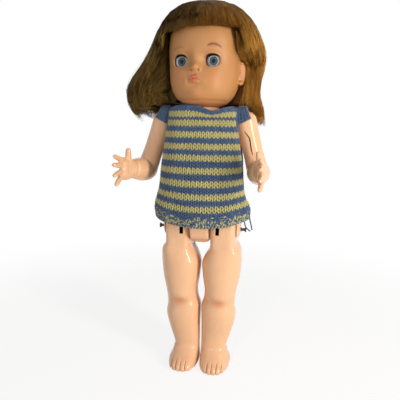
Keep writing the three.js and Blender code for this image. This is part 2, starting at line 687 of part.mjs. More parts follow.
function armSolid(ways) {
  const outwards = new THREE.Vector3(1, 0, 0);
  const outside = limb(upperArmRows(ways), outwards, 14)
    .add(limb(forearmRows(ways), ways.palmward, 14))
    .add(handSolid(ways));
  const face = shoulderFace + gap;
  const hollow = limb(upperArmRows(ways).slice(1, 8), outwards, 8, wall)
    .add(limb(forearmRows(ways).slice(1, 6), ways.palmward, 8, wall))
    .intersect(box(face + wall, 200, -100, 100, 200, 500));
  const seat = box(0, face, -60, 60, 200, 500);
  const opening = rod("x", 0, face + wall + 1, hookWire + gap, [0, shoulderHeight], 10);
  return outside.simplify(0.03).subtract(hollow).subtract(opening).subtract(seat);
}

// One half of a solid, cut by the plane that holds the arm's bend.
function halfOf(whole, elbow, normal, keep) {
  const turn = new THREE.Quaternion().setFromUnitVectors(upwards, normal);
  const place = elbow.clone().addScaledVector(normal, (keep * seamGap) / 2 + keep * 100);
  const block = new THREE.BoxGeometry(600, 600, 200).applyQuaternion(turn).translate(...place);
  return whole.intersect(solid(block));
}

// The hook keeps still in the body while the arm turns round its stem.
function hookSolid() {
  const z = shoulderHeight;
  const disc = shoulderFace + gap + wall + gap;
  const head = rod("x", disc, disc + 1.6, hookDisc, [0, z], 12);
  const stem = rod("x", hookEye + 12, disc + 1, hookWire, [0, z], 8);
  const bend = wire(
    [
      [hookEye + 14, 0, z],
      [hookEye + 10, 0, z + 1.4],
      [hookEye + 5, 0, z + 4.6],
      [hookEye, 0, z + 3],
      [hookEye - 2.2, 0, z - 1],
      [hookEye + 1, 0, z - 4.6],
      [hookEye + 5, 0, z - 4],
    ],
    hookWire,
    12,
    6,
  );
  return head.add(stem).add(bend);
}

function makeArm(side) {
  const arm = new THREE.Group();
  const ways = armWays(side);
  const whole = armSolid(ways);
  const down = ways.elbow.clone().sub(shoulder);
  const normal = down.cross(ways.ahead).normalize();
  const outer = normal.x > 0 ? 1 : -1;
  arm.add(part(`arm_${side}_outer`, halfOf(whole, ways.elbow, normal, outer), skinPlastic));
  arm.add(part(`arm_${side}_inner`, halfOf(whole, ways.elbow, normal, -outer), skinPlastic));
  arm.add(part(`arm_hook_${side}`, hookSolid(), steel));
  if (side === "right") arm.scale.x = -1;
  return arm;
}

// The rubber band that draws both arms against the body, round the neck spring.
function makeElastic() {
  const end = hookEye - 1.1 + hookWire + 2 * elasticRadius + gap;
  const halfWidth = springRadius + springWire + elasticRadius + 1.2;
  const loop = (radius) => {
    const middle = end - halfWidth - elasticRadius;
    const shape = new THREE.Path();
    shape.absarc(middle, 0, radius, -Math.PI / 2, Math.PI / 2, false);
    shape.absarc(-middle, 0, radius, Math.PI / 2, (3 * Math.PI) / 2, false);
    shape.closePath();
    return shape;
  };
  const outline = new THREE.Shape(loop(halfWidth + elasticRadius).getPoints(8));
  outline.holes.push(new THREE.Path(loop(halfWidth - elasticRadius).getPoints(8)));
  const band = new THREE.ExtrudeGeometry(outline, { depth: 2 * elasticRadius, bevelEnabled: false });
  band.translate(0, 0, shoulderHeight - elasticRadius);
  return part("arm_elastic", solid(band), rubber);
}

// The head: level rings with the features of the face pressed forwards or back.
function headRows() {
  const up = (share) => chinHeight + share * headHeight;
  return [
    { z: neckHeight + gap, reach: neckRadius + 1, front: neckRadius + 3, back: neckRadius + 2 },
    { z: chinHeight, reach: headHalf * 0.64, front: headFront * 0.78, back: headBack * 0.55 },
    { z: up(0.055), reach: headHalf * 0.79, front: headFront * 0.93, back: headBack * 0.68 },
    { z: up(0.12), reach: headHalf * 0.885, front: headFront, back: headBack * 0.79 },
    { z: up(0.2), reach: headHalf * 0.95, front: headFront * 1.015, back: headBack * 0.89 },
    { z: up(0.31), reach: headHalf * 0.985, front: headFront, back: headBack * 0.96 },
    { z: up(0.42), reach: headHalf, front: headFront * 0.965, back: headBack },
    { z: up(0.54), reach: headHalf * 1.01, front: headFront, back: headBack * 1.01 },
    { z: up(0.68), reach: headHalf * 0.98, front: headFront * 0.985, back: headBack * 0.98 },
    { z: up(0.8), reach: headHalf * 0.885, front: headFront * 0.88, back: headBack * 0.89 },
    { z: up(0.9), reach: headHalf * 0.7, front: headFront * 0.67, back: headBack * 0.71 },
    { z: up(0.965), reach: headHalf * 0.44, front: headFront * 0.41, back: headBack * 0.46 },
    { z: up(1), reach: headHalf * 0.12, front: headFront * 0.12, back: headBack * 0.12 },
  ].map(({ z, reach, front, back }) => ({ z, x: 0, inner: reach, outer: reach, front, back, square: 2.25 }));
}

// How far the face stands forward of its plain ring at a place.
function feature(x, z) {
  const wide = Math.abs(x);
  return (
    7.6 * bump(x, 5.2) * bump(z - noseHeight, 4.8) +
    2.4 * bump(x, 6) * bump(z - eyeHeight, 13) +
    3 * bump(x, 9) * bump(z - mouthHeight, 6) +
    3.4 * bump(x, 12) * bump(z - chinHeight - 9, 7) +
    2.8 * bump(wide - 25, 13) * bump(z - mouthHeight - 2, 14) -
    2.6 * bump(wide - eyeX, 10.5) * bump(z - eyeHeight, 9.5)
  );
}

function headSkin(rows, sides, shrink) {
  const rings = rows.map((row) =>
    levelRing(row, sides, shrink).map((p) => {
      if (p.y < 0) p.y -= feature(p.x, row.z) * Math.min(1, -p.y / 20);
      return p;
    }),
  );
  return skin(rings);
}

function earSolid() {
  const shell = ball([headHalf - 0.4, 3, earHeight], 6.6, 10.5, 16, 10, 7);
  const dent = ball([headHalf + 6.5, -1.5, earHeight + 1], 3.8, 5, 9.5, 8, 6);
  return shell.subtract(dent);
}

function headOutside() {
  return headSkin(between(headRows(), 2), 32, 0).simplify(0.08);
}

// A prism along Y whose outline is a rounded oblong.
function oblong(x, z, halfWidth, halfHeight, squareness, y0, y1, sides = 20) {
  const outline = new THREE.Shape();
  for (let k = 0; k < sides; k++) {
    const turn = (2 * Math.PI * (k + 0.5)) / sides;
    const place = [
      x + halfWidth * power(Math.cos(turn), 2 / squareness),
      z + halfHeight * power(Math.sin(turn), 2 / squareness),
    ];
    if (k) outline.lineTo(...place);
    else outline.moveTo(...place);
  }
  const shape = new THREE.ExtrudeGeometry(outline, { depth: y1 - y0, bevelEnabled: false });
  return solid(shape.rotateX(Math.PI / 2).translate(0, y1, 0));
}

function eyeBallOf(radius) {
  return ball([eyeX, eyeCentreY, eyeHeight], radius, radius, radius, 14, 8);
}

function cupBlock() {
  const reach = eyeRadius + eyeGap + cupWall + 1;
  const front = eyeCentreY - 5;
  return box(eyeX - reach, eyeX + reach, front, front + 60, eyeHeight - reach, eyeHeight + reach);
}

function cupOutside() {
  return eyeBallOf(eyeRadius + eyeGap + cupWall).intersect(cupBlock());
}

function headSolid() {
  const ear = earSolid();
  const topZ = chinHeight + headHeight;
  const inside = headSkin(headRows().filter((row, i) => i % 2 === 0), 18, wall + 0.3).intersect(
    box(-100, 100, -100, 100, neckHeight + gap + wall, topZ - wall),
  );
  const hole = rod("z", neckHeight - 5, neckHeight + 10, headHole, [0, 0], 24);
  const cuts = [ear, cupOutside(), eyeBallOf(eyeRadius + eyeGap)];
  const opening = oblong(eyeX, eyeHeight, eyeOpenHalf, eyeOpenHalfHeight, 2.6, -70, eyeCentreY);
  const leftCuts = [cuts[1], cuts[2], opening];
  const rightCuts = leftCuts.map(mirrored);
  const outside = headOutside().add(ear).add(mirrored(ear));
  return [inside, hole, ...leftCuts, ...rightCuts].reduce((head, cut) => head.subtract(cut), outside);
}

// The lashes: a curved strip that stands in a groove of the eyeball.
function lashSolid() {
  const inner = eyeRadius - lashRoot;
  const spread = 0.4;
  const strip = new THREE.Shape();
  strip.absarc(0, 0, eyeRadius + lashLength, -Math.PI / 2 - spread, -Math.PI / 2 + spread, false);
  strip.absarc(0, 0, inner, -Math.PI / 2 + spread, -Math.PI / 2 - spread, true);
  strip.closePath();
  const shape = new THREE.ExtrudeGeometry(strip, { depth: lashThick, bevelEnabled: false, curveSegments: 5 });
  shape.translate(0, 0, -lashThick / 2).rotateX(THREE.MathUtils.degToRad(-lashTilt));
  return solid(shape.translate(eyeX, eyeCentreY, eyeHeight));
}

// One eye on the doll's left: a weighted ball on a pin across a cup.
function makeEye(side) {
  const eye = new THREE.Group();
  const reach = eyeRadius + eyeGap + cupWall;
  const front = eyeCentreY - Math.sqrt(eyeRadius ** 2 - irisRadius ** 2);
  const pin = rod("x", eyeX - reach, eyeX + reach, axleRadius, [eyeCentreY, eyeHeight], 10);
  const bore = rod("x", 0, 60, axleRadius + gap, [eyeCentreY, eyeHeight], 10);
  const seat = rod("y", front - 5, front + 1, irisRadius + 0.1, [eyeX, eyeHeight], 16);
  const foot = eyeHeight - eyeRadius;
  const slug = rod("z", foot + 1.2, foot + 7.5, weightRadius, [eyeX, eyeCentreY], 12);
  const slugHole = rod("z", foot - 2, foot + 7.5, weightRadius, [eyeX, eyeCentreY], 12);
  const lash = lashSolid();
  const eyeball = [bore, seat, slugHole, lash].reduce((all, cut) => all.subtract(cut), eyeBallOf(eyeRadius));
  const dome = ball([eyeX, front + 1, eyeHeight], irisRadius, irisDome, irisRadius, 16, 8);
  const iris = dome.intersect(box(0, 60, front - 20, front + 1, eyeHeight - 20, eyeHeight + 20));
  const cup = cupOutside().subtract(eyeBallOf(eyeRadius + eyeGap)).subtract(pin);
  eye.add(part(`eyeball_${side}`, eyeball, eyeWhite));
  eye.add(part(`iris_${side}`, iris, irisBlue));
  eye.add(part(`lashes_${side}`, lash, lashBlack));
  eye.add(part(`eye_weight_${side}`, slug, lead));
  eye.add(part(`eye_pin_${side}`, pin, steel));
  eye.add(part(`eye_cup_${side}`, cup, cupPlastic));
  if (side === "right") eye.scale.x = -1;
  return eye;
}

// The hair, as the space that it fills round the head.
function hairRow(z, inner, outer, front, back) {
  return { z, x: 0, inner, outer, front, back, square: 2.1 };
}

function hairOutside() {
  const rows = [
    hairRow(hairEnd, 106, 78, 20, 60),
    hairRow(hairEnd + 14, 117, 80, 28, 67),
    hairRow(hairEnd + 27, 126, 82, 34, 72),
    hairRow(hairEnd + 49, 129, 88, 38, 76),
    hairRow(hairEnd + 69, 125, 91, 42, 77),
    hairRow(hairEnd + 84, 102, 92, 50, 77),
    hairRow(hairEnd + 96, 84, 90, 56, 76),
    hairRow(hairEnd + 110, 72, 84, 59.5, 74),
    hairRow(hairEnd + 124, 66, 76, 60, 71),
    hairRow(hairEnd + 138, 61, 66, 57, 65),
    hairRow(hairEnd + 151, 53, 54, 48.5, 54),
    hairRow(hairEnd + 161, 40, 40, 36, 40),
    hairRow(hairEnd + 166, 27, 27, 23, 26),
    hairRow(hairEnd + 168.5, 12, 12, 10, 11),
  ];
  return skin(rows.map((row) => levelRing(row, 20)));
}

// A solid grown a little from the middle of the head.
function swollen(made, by) {
  const grow = 1 + by / headHalf;
  return made.translate([0, 0, -eyeHeight]).scale([grow, grow, grow]).translate([0, 0, eyeHeight]);
}

function makeHair() {
  const hair = new THREE.Group();
  const ear = earSolid();
  const head = headOutside().add(ear).add(mirrored(ear));
  const headRoom = head.add(swollen(head, 0.08));
  const face = oblong(-1.5, fringeHeight - 66, 48.5, 73, 5, -120, -12, 28);
  const besideEar = box(40, 60.5, -120, 14.5, hairEnd - 5, earHeight + 18);
  const neckRoom = rod("z", hairEnd - 5, chinHeight + 9.5, 44, [0, 0], 28);
  const bodyRoom = box(-200, 200, -120, hairBehind, hairEnd - 5, chinHeight - 3);
  const cuts = [headRoom, face, besideEar, neckRoom, bodyRoom];
  const all = cuts.reduce((made, cut) => made.subtract(cut), hairOutside());
  const level = (z0, z1) => box(-200, 200, -200, 200, z0, z1);
  const crown = all.intersect(level(hairSplit, 600));
  const fringeBlock = box(-62, 62, -120, -30, hairSplit, fringeHeight + 34);
  const locks = all.intersect(level(0, hairSplit));
  const lockFront = (x0, x1) => locks.intersect(box(x0, x1, -200, 30, 0, 600));
  hair.add(part("hair_crown", crown.subtract(fringeBlock), hairFibre));
  hair.add(part("hair_fringe", crown.intersect(fringeBlock), hairFibre));
  hair.add(part("hair_side_left", lockFront(0, 200), hairFibre));
  hair.add(part("hair_side_right", lockFront(-200, 0), hairFibre));
  hair.add(part("hair_back", locks.intersect(box(-200, 200, 30, 200, 0, 600)), hairFibre));
  return hair;
}

function makeHead() {
  const head = new THREE.Group();
  head.add(part("head_shell", headSolid(), skinVinyl));
  head.add(makeEye("left"), makeEye("right"), makeHair());
  head.rotation.z = THREE.MathUtils.degToRad(headTurn);
  return head;
}

// The knitted top: a loose tube with armholes and a wide neck, and a band round each armhole.
function knitRow(z, side, front, back, square = 2.5) {
  return { z, x: 0, inner: side, outer: side, front, back, square };
}

function knitRows() {
  return [
    knitRow(hemHeight, hemHalf, 51, 46),
    knitRow(hemHeight + 14, hemHalf - 0.6, 50.5, 45),
    knitRow(hemHeight + 27, 69.5, 49.5, 43, 2.8),
    knitRow(hemHeight + 50, 64.5, 49, 39.5, 3),
    knitRow(hemHeight + 85, 60, 47, 36, 3.2),
    knitRow(hemHeight + 118, 56.6, 43.5, 34.5, 2.8),
    knitRow(shoulderHeight - 11, 56, 39, 33.5, 2.8),
    knitRow(shoulderHeight + 2, 56, 35.5, 33, 2.8),
    knitRow(shoulderHeight + 9, 54, 33, 32),
    knitRow(shoulderHeight + 15, 45, 31.5, 31.5, 2.4),
    knitRow(neckHeight + 1.4, neckHoleHalf + 2.4, 33, 32.2, 2.2),
  ];
}

const sleeveRadius = shoulderRadius + knitEase - 0.3 + knitThick;

function knitSolid() {
  const rows = knitRows();
  const outside = skin(rows.map((row) => levelRing(row, 20)));
  const longer = rows.map((row, i) => ({ ...row, z: i ? (i === rows.length - 1 ? row.z + 2 : row.z) : row.z - 2 }));
  const inside = skin(longer.map((row) => levelRing(row, 20, knitThick)));
  const armhole = (side) => {
    const from = side > 0 ? 30 : -100;
    const upper = rod("x", from, from + 70, sleeveRadius, [0, shoulderHeight], 20);
    const lower = rod("x", from, from + 70, armholeRadius, [0, shoulderHeight - armholeDeep + armholeRadius], 20);
    return wasm.Manifold.hull([upper, lower]);
  };
  return outside.subtract(inside).subtract(armhole(1)).subtract(armhole(-1));
}

function sleeveSolid(side) {
  const shell = (radius) => ball([shoulderX, 0, shoulderHeight], radius, radius, radius, 16, 10);
  const hollow = shell(sleeveRadius - knitThick);
  const block = box(shoulderFace + gap + 0.5, 100, -50, 50, shoulderHeight - sleeveDrop, 500);
  const arm = limb(upperArmRows(armWays(side)), new THREE.Vector3(1, 0, 0), 14, -0.5);
  return shell(sleeveRadius).subtract(hollow).subtract(arm).intersect(block);
}

function makeTop() {
  const top = new THREE.Group();
  top.add(part("knit_top", knitSolid(), knitBlue));
  const left = part("knit_sleeve_left", sleeveSolid("left"), knitBlue);
  const right = part("knit_sleeve_right", sleeveSolid("right"), knitBlue);
  right.scale.x = -1;
  top.add(left, right);
  const inner = [
    [65.2, -14, hemHeight + 20],
    [66.4, -14, hemHeight + 5],
    [68.9, -14.5, hemHeight - 3.4],
    [75.6, -15.5, hemHeight - 9],
  ];
  const outer = [
    [72.6, -16, hemHeight + 22],
    [74.4, -15, hemHeight + 9],
    [76.6, -12, hemHeight - 1],
    [77.8, -10, hemHeight - 8],
  ];
  top.add(part("yarn_tail_inner", wire(inner, yarnRadius, 8, 6), knitBlue));
  top.add(part("yarn_tail_outer", wire(outer, yarnRadius, 8, 6), knitBlue));
  return top;
}

const doll = new THREE.Group();
doll.add(makeBody(), makeLeg("left"), makeLeg("right"), makeNeck());
doll.add(makeArm("left"), makeArm("right"), makeElastic());
doll.add(makeHead(), makeTop());
doll.position.set(middleX, middleY, 0);
export default doll;
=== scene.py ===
# A walking doll of hard plastic with a soft vinyl head, rooted hair and a hand-knitted striped top.
# Metres. +Z is up, the doll looks along -Y and its own left hand is at +X.
import math

import bpy
import numpy as np
from bpy.props import FloatProperty, FloatVectorProperty, IntProperty, PointerProperty
from bpy.types import Operator, Panel, PropertyGroup
from mathutils import Matrix, Vector


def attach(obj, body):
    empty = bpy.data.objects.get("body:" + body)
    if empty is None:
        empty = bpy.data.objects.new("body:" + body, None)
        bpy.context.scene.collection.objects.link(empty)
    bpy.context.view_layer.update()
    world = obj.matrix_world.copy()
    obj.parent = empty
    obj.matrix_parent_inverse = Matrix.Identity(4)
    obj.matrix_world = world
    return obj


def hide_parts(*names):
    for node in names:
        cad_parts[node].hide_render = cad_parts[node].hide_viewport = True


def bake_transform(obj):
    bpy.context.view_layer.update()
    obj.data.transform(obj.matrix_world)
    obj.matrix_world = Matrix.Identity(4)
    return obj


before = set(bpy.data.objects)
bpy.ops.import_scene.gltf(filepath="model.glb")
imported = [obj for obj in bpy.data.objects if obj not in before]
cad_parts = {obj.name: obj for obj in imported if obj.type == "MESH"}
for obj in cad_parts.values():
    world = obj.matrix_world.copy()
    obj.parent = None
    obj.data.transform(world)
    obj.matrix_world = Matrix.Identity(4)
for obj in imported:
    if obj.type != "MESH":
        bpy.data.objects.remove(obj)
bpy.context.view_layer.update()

bl_info = {
    "name": "Walking doll",
    "version": (1, 0, 0),
    "blender": (4, 5, 0),
    "location": "3D View > Sidebar > Doll",
    "description": "Dresses a walking doll: limbs, face, eyes, hair and knitted top",
    "category": "Object",
}

MM, TINY = 0.001, 1e-9
UPWARD, OUTWARD = np.array((0.0, 0.0, 1.0)), np.array((1.0, 0.0, 0.0))
MIDDLE = Vector((0.0131, 0.0074, 0.0))  # the body's own middle, seen from the origin
SIDES = (("left", 1), ("right", -1))

# Heights and sizes that the solids share, in millimetres
HIP, NECK, SHOULDER = 225.0, 409.0, 388.0
CHIN, HEAD_TALL = 414.5, 133.5
EYE_X, EYE_Y, EYE_Z, EYE_R = 23.0, -30.0, 469.5, 12.4
HEAD_TURN = math.radians(-6.0)
HEM = 235.5
EYE_GAP, EYE_HALF, EYE_HALF_TALL, EYE_SQUARE = 0.7, 9.4, 8.3, 2.6
LID_EDGE = 7.4  # above this height over its middle an eyeball is painted as a lid
MOUTH, NOSTRIL_Z = 444.9, 455.8


def linear(red, green, blue):
    """A colour of the screen, 0 to 255, as scene light."""
    return tuple((c / 255) ** 2.2 for c in (red, green, blue))


def length_setting(name, description, default, low, high):
    return FloatProperty(name=name, description=description, default=default, min=low, max=high,
                         unit="LENGTH")


def count_setting(name, description, default, low, high):
    return IntProperty(name=name, description=description, default=default, min=low, max=high)


def colour_setting(name, description, red, green, blue):
    return FloatVectorProperty(name=name, description=description, subtype="COLOR", size=3, min=0, max=1,
                               default=linear(red, green, blue))


class DollSizes(PropertyGroup):
    voxel: length_setting("Skin detail", "Edge of the finest faces of the limbs", 0.0013, 0.0006, 0.004)
    strands: count_setting("Hair tufts", "Number of hair tufts on each side of the head", 2600, 100, 6000)
    strand_radius: length_setting("Tuft radius", "Radius of a tuft at its middle", 0.00034, 0.0001, 0.002)
    yarn_radius: length_setting("Yarn radius", "Radius of the knitting yarn", 0.00118, 0.0005, 0.003)
    stitches: count_setting("Stitches round", "Number of stitches round the knitted top", 54, 30, 140)
    course: length_setting("Course height", "Height of one row of stitches", 0.0043, 0.002, 0.008)


class DollColours(PropertyGroup):
    skin: colour_setting("Hard plastic", "Colour of the legs, the arms and the body", 226, 178, 140)
    face: colour_setting("Vinyl", "Colour of the soft head", 180, 127, 78)
    blush: colour_setting("Blush", "Colour sprayed on the cheeks and the ears", 208, 112, 72)
    lips: colour_setting("Lips", "Colour painted on the lips", 196, 100, 76)
    hair: colour_setting("Hair", "Main colour of the hair", 172, 118, 46)
    hair_light: colour_setting("Light hair", "Colour of the lightest tufts", 204, 154, 72)
    # Used for the darkest tufts, and as painted shade in the hair's depth, on the crown and near the roots
    hair_dark_and_shade: colour_setting("Dark hair", "Colour of the hair in its depth", 56, 38, 14)
    blue: colour_setting("Blue yarn", "Colour of the blue yarn", 64, 92, 130)
    yellow: colour_setting("Yellow yarn", "Colour of the yellow yarn", 196, 186, 120)
    iris: colour_setting("Iris", "Main colour of the iris", 70, 90, 108)


def sum_part(operation, turned=False):
    """A way to put two numbers of a material together with a plain sign."""

    def part(self, *others):
        values = (*others, self) if turned else (self, *others)
        return self.finish.math(operation, *values)

    return part


class Field:
    """A socket that can stand in a sum."""

    def __init__(self, finish, socket):
        self.finish = finish
        self.socket = socket

    __add__ = __radd__ = sum_part("ADD")
    __mul__ = __rmul__ = sum_part("MULTIPLY")
    __sub__, __rsub__ = sum_part("SUBTRACT"), sum_part("SUBTRACT", True)
    __truediv__, __rtruediv__ = sum_part("DIVIDE"), sum_part("DIVIDE", True)
    __pow__, __abs__ = sum_part("POWER"), sum_part("ABSOLUTE")

    def within(self, width):
        """1 at zero, fading to nothing at about twice the width."""
        return self.finish.math("EXPONENT", (self / width) ** 2 * -1.0)

    def step(self, low, high):
        """0 up to low, 1 from high, smooth between."""
        return self.finish.node("ShaderNodeMapRange", {"interpolation_type": "SMOOTHSTEP", "clamp": True},
                                {0: self, 1: low, 2: high, 3: 0.0, 4: 1.0})

    def clipped(self):
        return self.finish.node("ShaderNodeClamp", {}, {0: self, 1: 0.0, 2: 1.0})


class Finish:
    """A material, or the world, under construction."""

    def __init__(self, name, kind=None):
        self.material = (bpy.data.materials if kind is None else kind).new(name)
        self.material.use_nodes = True
        self.tree = self.material.node_tree
        self.tree.nodes.clear()

    def node(self, kind, settings, sockets, out=0):
        made = self.tree.nodes.new(kind)
        for name, value in settings.items():
            setattr(made, name, value)
        for key, value in sockets.items():
            socket = made.inputs[key]
            if isinstance(value, Field):
                self.tree.links.new(value.socket, socket)
            elif hasattr(value, "__len__") and hasattr(socket.default_value, "__len__"):
                socket.default_value = tuple(value)[:3] + (1.0,) * (len(socket.default_value) - 3)
            else:
                socket.default_value = value
        return Field(self, made.outputs[out])

    def math(self, operation, *values):
        return self.node("ShaderNodeMath", {"operation": operation}, dict(enumerate(values)))

    def vector(self, operation, a, b, out=0):
        return self.node("ShaderNodeVectorMath", {"operation": operation}, {0: a, 1: b}, out)

    def object_place(self):
        return self.node("ShaderNodeTexCoord", {}, {}, 3)

    def place(self, turn=0.0):
        """Where a point is, in millimetres from the body's middle, turned with the head if asked."""
        moved = self.vector("SUBTRACT", self.object_place(), tuple(MIDDLE))
        grown = self.vector("MULTIPLY", moved, (1 / MM,) * 3)
        if not turn:
            return grown
        return self.node("ShaderNodeVectorRotate", {"rotation_type": "Z_AXIS"},
                         {"Vector": grown, "Angle": turn})

    def axes(self, vector):
        return [self.node("ShaderNodeSeparateXYZ", {}, {0: vector}, k) for k in range(3)]

    def noise(self, vector, scale, detail=2.0, rough=0.5, stretch=None):
        """Soft noise from 0 to 1, stretched along the axes whose share is below 1."""
        if stretch:
            vector = self.vector("MULTIPLY", vector, stretch)
        return self.node("ShaderNodeTexNoise", {}, {"Vector": vector, "Scale": scale, "Detail": detail,
                                                    "Roughness": rough})

    def attribute(self, name):
        return self.node("ShaderNodeAttribute", {"attribute_name": name}, {}, 2)

    def mix(self, share, a, b):
        return self.node("ShaderNodeMix", {"data_type": "RGBA"}, {0: share, 6: a, 7: b}, 2)

    def painted(self, colour, *coats):
        """A colour under coats of paint. Each coat is its share at a place and its own colour."""
        for share, paint in coats:
            colour = self.mix(share, colour, paint)
        return colour

    def bump(self, height, distance, strength):
        return self.node("ShaderNodeBump", {}, {"Height": height, "Distance": distance, "Strength": strength})

    def shown(self, shader, out="ShaderNodeOutputMaterial"):
        """Ends the material, or the world, with a shader."""
        end = self.tree.nodes.new(out)
        self.tree.links.new(shader.socket, end.inputs["Surface"])
        return self.material

    def surface(self, **sockets):
        named = {name.replace("_", " "): value for name, value in sockets.items()}
        return self.shown(self.node("ShaderNodeBsdfPrincipled", {}, named))


# Heights of the yellow stripes on the knitted top, and where the lines between the toes lie from the middle
STRIPES = (398.4, 385.3, 369.0, 352.0, 336.0, 317.3, 298.5, 279.4, 261.7)
TOE_LINES = (17.2, 24.4, 31.9, 39.4)


def darker(colour, share):
    return tuple(c * share for c in colour)


def paler(colour, share):
    return tuple(min(1.0, c * share + 0.03) for c in colour)


def summed(fields):
    return sum(fields[1:], fields[0]).clipped()


def yellow_share(height):
    """1 in a yellow stripe and 0 in a blue one."""
    return summed([abs(height - middle).step(4.5, 4.0) for middle in STRIPES])


def hard_plastic(colours):
    """Glossy skin-coloured hard plastic, blushed at the knees, with a fine mould line, small scuffs and
    painted shade in the grooves between the toes.
    """
    finish = Finish("doll_plastic")
    place = finish.place()
    x, y, z = finish.axes(place)
    mottle = finish.noise(place, 0.018, 3.0)
    warmth = finish.noise(place, 0.05).step(0.45, 0.8)
    knee = (abs(x) - 30.0).within(12.0) * (z - 111.0).within(6.5) * y.step(2.0, -12.0)
    toe_groove_and_shade = toe_grooves(x, y, z)
    speck = finish.noise(place, 0.32, 1.0).step(0.74, 0.78)
    mould_line = finish.attribute("seam").within(0.2)
    # The grooves between the toes are darkened with painted shade
    colour = finish.painted(colours.skin, (mottle * 0.2, linear(234, 190, 152)),
                            (warmth * 0.12, linear(214, 150, 108)), (knee * 0.6, linear(186, 100, 54)),
                            (toe_groove_and_shade * 0.62, linear(120, 66, 44)),
                            (speck * 0.3, linear(150, 96, 66)), (mould_line * 0.25, linear(150, 92, 62)))
    scuff = finish.noise(place, 0.12, 4.0, stretch=(1.0, 1.0, 0.35)).step(0.5, 0.72)
    relief = finish.noise(place, 1.6) * 0.05 - toe_groove_and_shade - mould_line * 0.3
    return finish.surface(Base_Color=colour, Roughness=0.17 + scuff * 0.16,
                          Normal=finish.bump(relief, 0.0006, 0.7), IOR=1.34, Coat_Weight=0.22,
                          Coat_Roughness=0.07, Subsurface_Weight=0.08,
                          Subsurface_Radius=(1.0, 0.6, 0.4), Subsurface_Scale=0.002)


def toe_grooves(x, y, z):
    """Where the grooves between the toes run, as a share from 0 to 1; the plastic darkens them with painted
    shade and presses them in.
    """
    ahead = (y * -1.0).step(29.0, 33.5)
    height = (19.0 - z).step(0.0, 5.0)
    return summed([(abs(x) - line).within(0.42) for line in TOE_LINES]) * ahead * height


def soft_vinyl(colours):
    """Satin vinyl with blushed cheeks, painted lips and thin brows, in the head's own turn."""
    finish = Finish("soft_vinyl")
    place = finish.place(-HEAD_TURN)
    x, y, z = finish.axes(place)
    wide = abs(x)
    ahead = (y * -1.0).step(0.0, 14.0)
    cheek = (wide - 29.0).within(13.0) * (z - 447.0).within(11.0) * ahead
    chin = x.within(12.0) * (z - 424.0).within(7.0) * ahead
    nose = x.within(7.0) * (z - 457.0).within(7.0) * ahead
    ear = wide.step(51.0, 56.0) * (z - 457.0).within(22.0)
    blush = (cheek * 0.26 + chin * 0.2 + nose * 0.16 + ear * 0.24).clipped()
    neck_shade = (z * -1.0 + 424.0).step(0.0, 14.0)
    eye_shade = ((wide - EYE_X) / 12.5).within(1.0) * ((z - EYE_Z) / 11.5).within(1.0) * ahead
    upper, lower, crease_shade = (part * ahead for part in painted_lips(wide, z))
    worn = 1.0 - finish.noise(place, 0.35, 3.0).step(0.5, 0.75) * 0.35
    nostril = ((wide - 5.7) / 1.5).within(1.0) * ((z - NOSTRIL_Z - 0.4) / 1.2).within(1.0) * ahead
    brow = brow_line(x, z) * ahead * (x.step(-1.0, 1.0) * 0.5 + 0.36)
    colour = finish.painted(colours.face, (finish.noise(place, 0.02, 3.0) * 0.3, linear(194, 144, 98)),
                            (blush, colours.blush), (neck_shade * 0.4, linear(196, 112, 76)),
                            (eye_shade * 0.22, linear(178, 112, 74)),
                            ((upper + lower * 0.62).clipped() * worn * 0.85, colours.lips),
                            # Painted shade in the groove between the lips
                            (crease_shade * 0.5, linear(126, 52, 36)),
                            (nostril.step(0.2, 0.8) * 0.85, linear(110, 40, 24)),
                            # The eye openings are painted dark: a liner at the edge, and painted shade on the
                            # walls of the opening round the eyeball
                            (brow, linear(98, 56, 14)), (eye_liner_and_shade(wide, z) * ahead * 0.96, linear(24, 18, 16)))
    shine = finish.noise(place, 0.06, 3.0).step(0.3, 0.7)
    lips = (upper + lower).clipped()
    return finish.surface(Base_Color=colour, Roughness=0.42 + shine * 0.1 - lips * 0.16,
                          Normal=finish.bump(finish.noise(place, 0.9, 3.0) * 0.22, 0.0004, 0.5), IOR=1.46,
                          Subsurface_Weight=0.18, Subsurface_Radius=(1.0, 0.4, 0.2), Subsurface_Scale=0.005)


def painted_lips(wide, z):
    """How much paint lies on the upper lip and on the lower lip, and how much painted shade lies in the line
    between them.
    """
    upper_top = MOUTH + 3.4 + (wide - 2.6).within(3.0) * 3.3 - wide * 0.42
    mouth_line = MOUTH - (wide / 8.6) ** 2 * 3.0
    lower_foot = MOUTH - 1.0 - (1.0 - (wide / 6.4) ** 2).clipped() ** 0.5 * 4.2
    upper = (z - mouth_line).step(-0.5, 0.3) * (upper_top - z).step(-0.5, 0.6) * (8.9 - wide).step(-0.4, 0.8)
    lower = (mouth_line - z).step(-0.4, 0.4) * (z - lower_foot).step(-0.5, 0.6) * (6.6 - wide).step(-0.4, 0.8)
    return upper, lower, (z - mouth_line).within(0.55) * (9.0 - wide).step(0.0, 1.5)


def eye_liner_and_shade(wide, z):
    """The dark line along the edge of an eye opening, broader on top: partly a painted liner on the face, and
    partly painted shade on the walls of the opening and round the eyeball.
    """
    sideways = (abs(wide - EYE_X) / EYE_HALF) ** EYE_SQUARE
    upright = (abs(z - EYE_Z) / EYE_HALF_TALL) ** EYE_SQUARE
    width = (z - EYE_Z).step(-3.0, 5.0) * 0.05 + 0.03
    return ((sideways + upright) ** (1.0 / EYE_SQUARE) - width - 1.0).step(0.03, -0.03)


def brow_line(x, z):
    """Two thin arched brows, the one on the doll's left set a little higher."""
    left = x.step(-1.0, 1.0)
    along = (abs(x) - 25.5) / 9.5
    arch = 487.8 + left * 2.7 - along ** 2 * 3.6 - along * 0.8
    thick = 1.35 - along ** 2 * 0.7 + left * 0.45
    return ((z - arch) / thick).within(1.0) * (1.0 - along ** 2).step(0.0, 0.25)


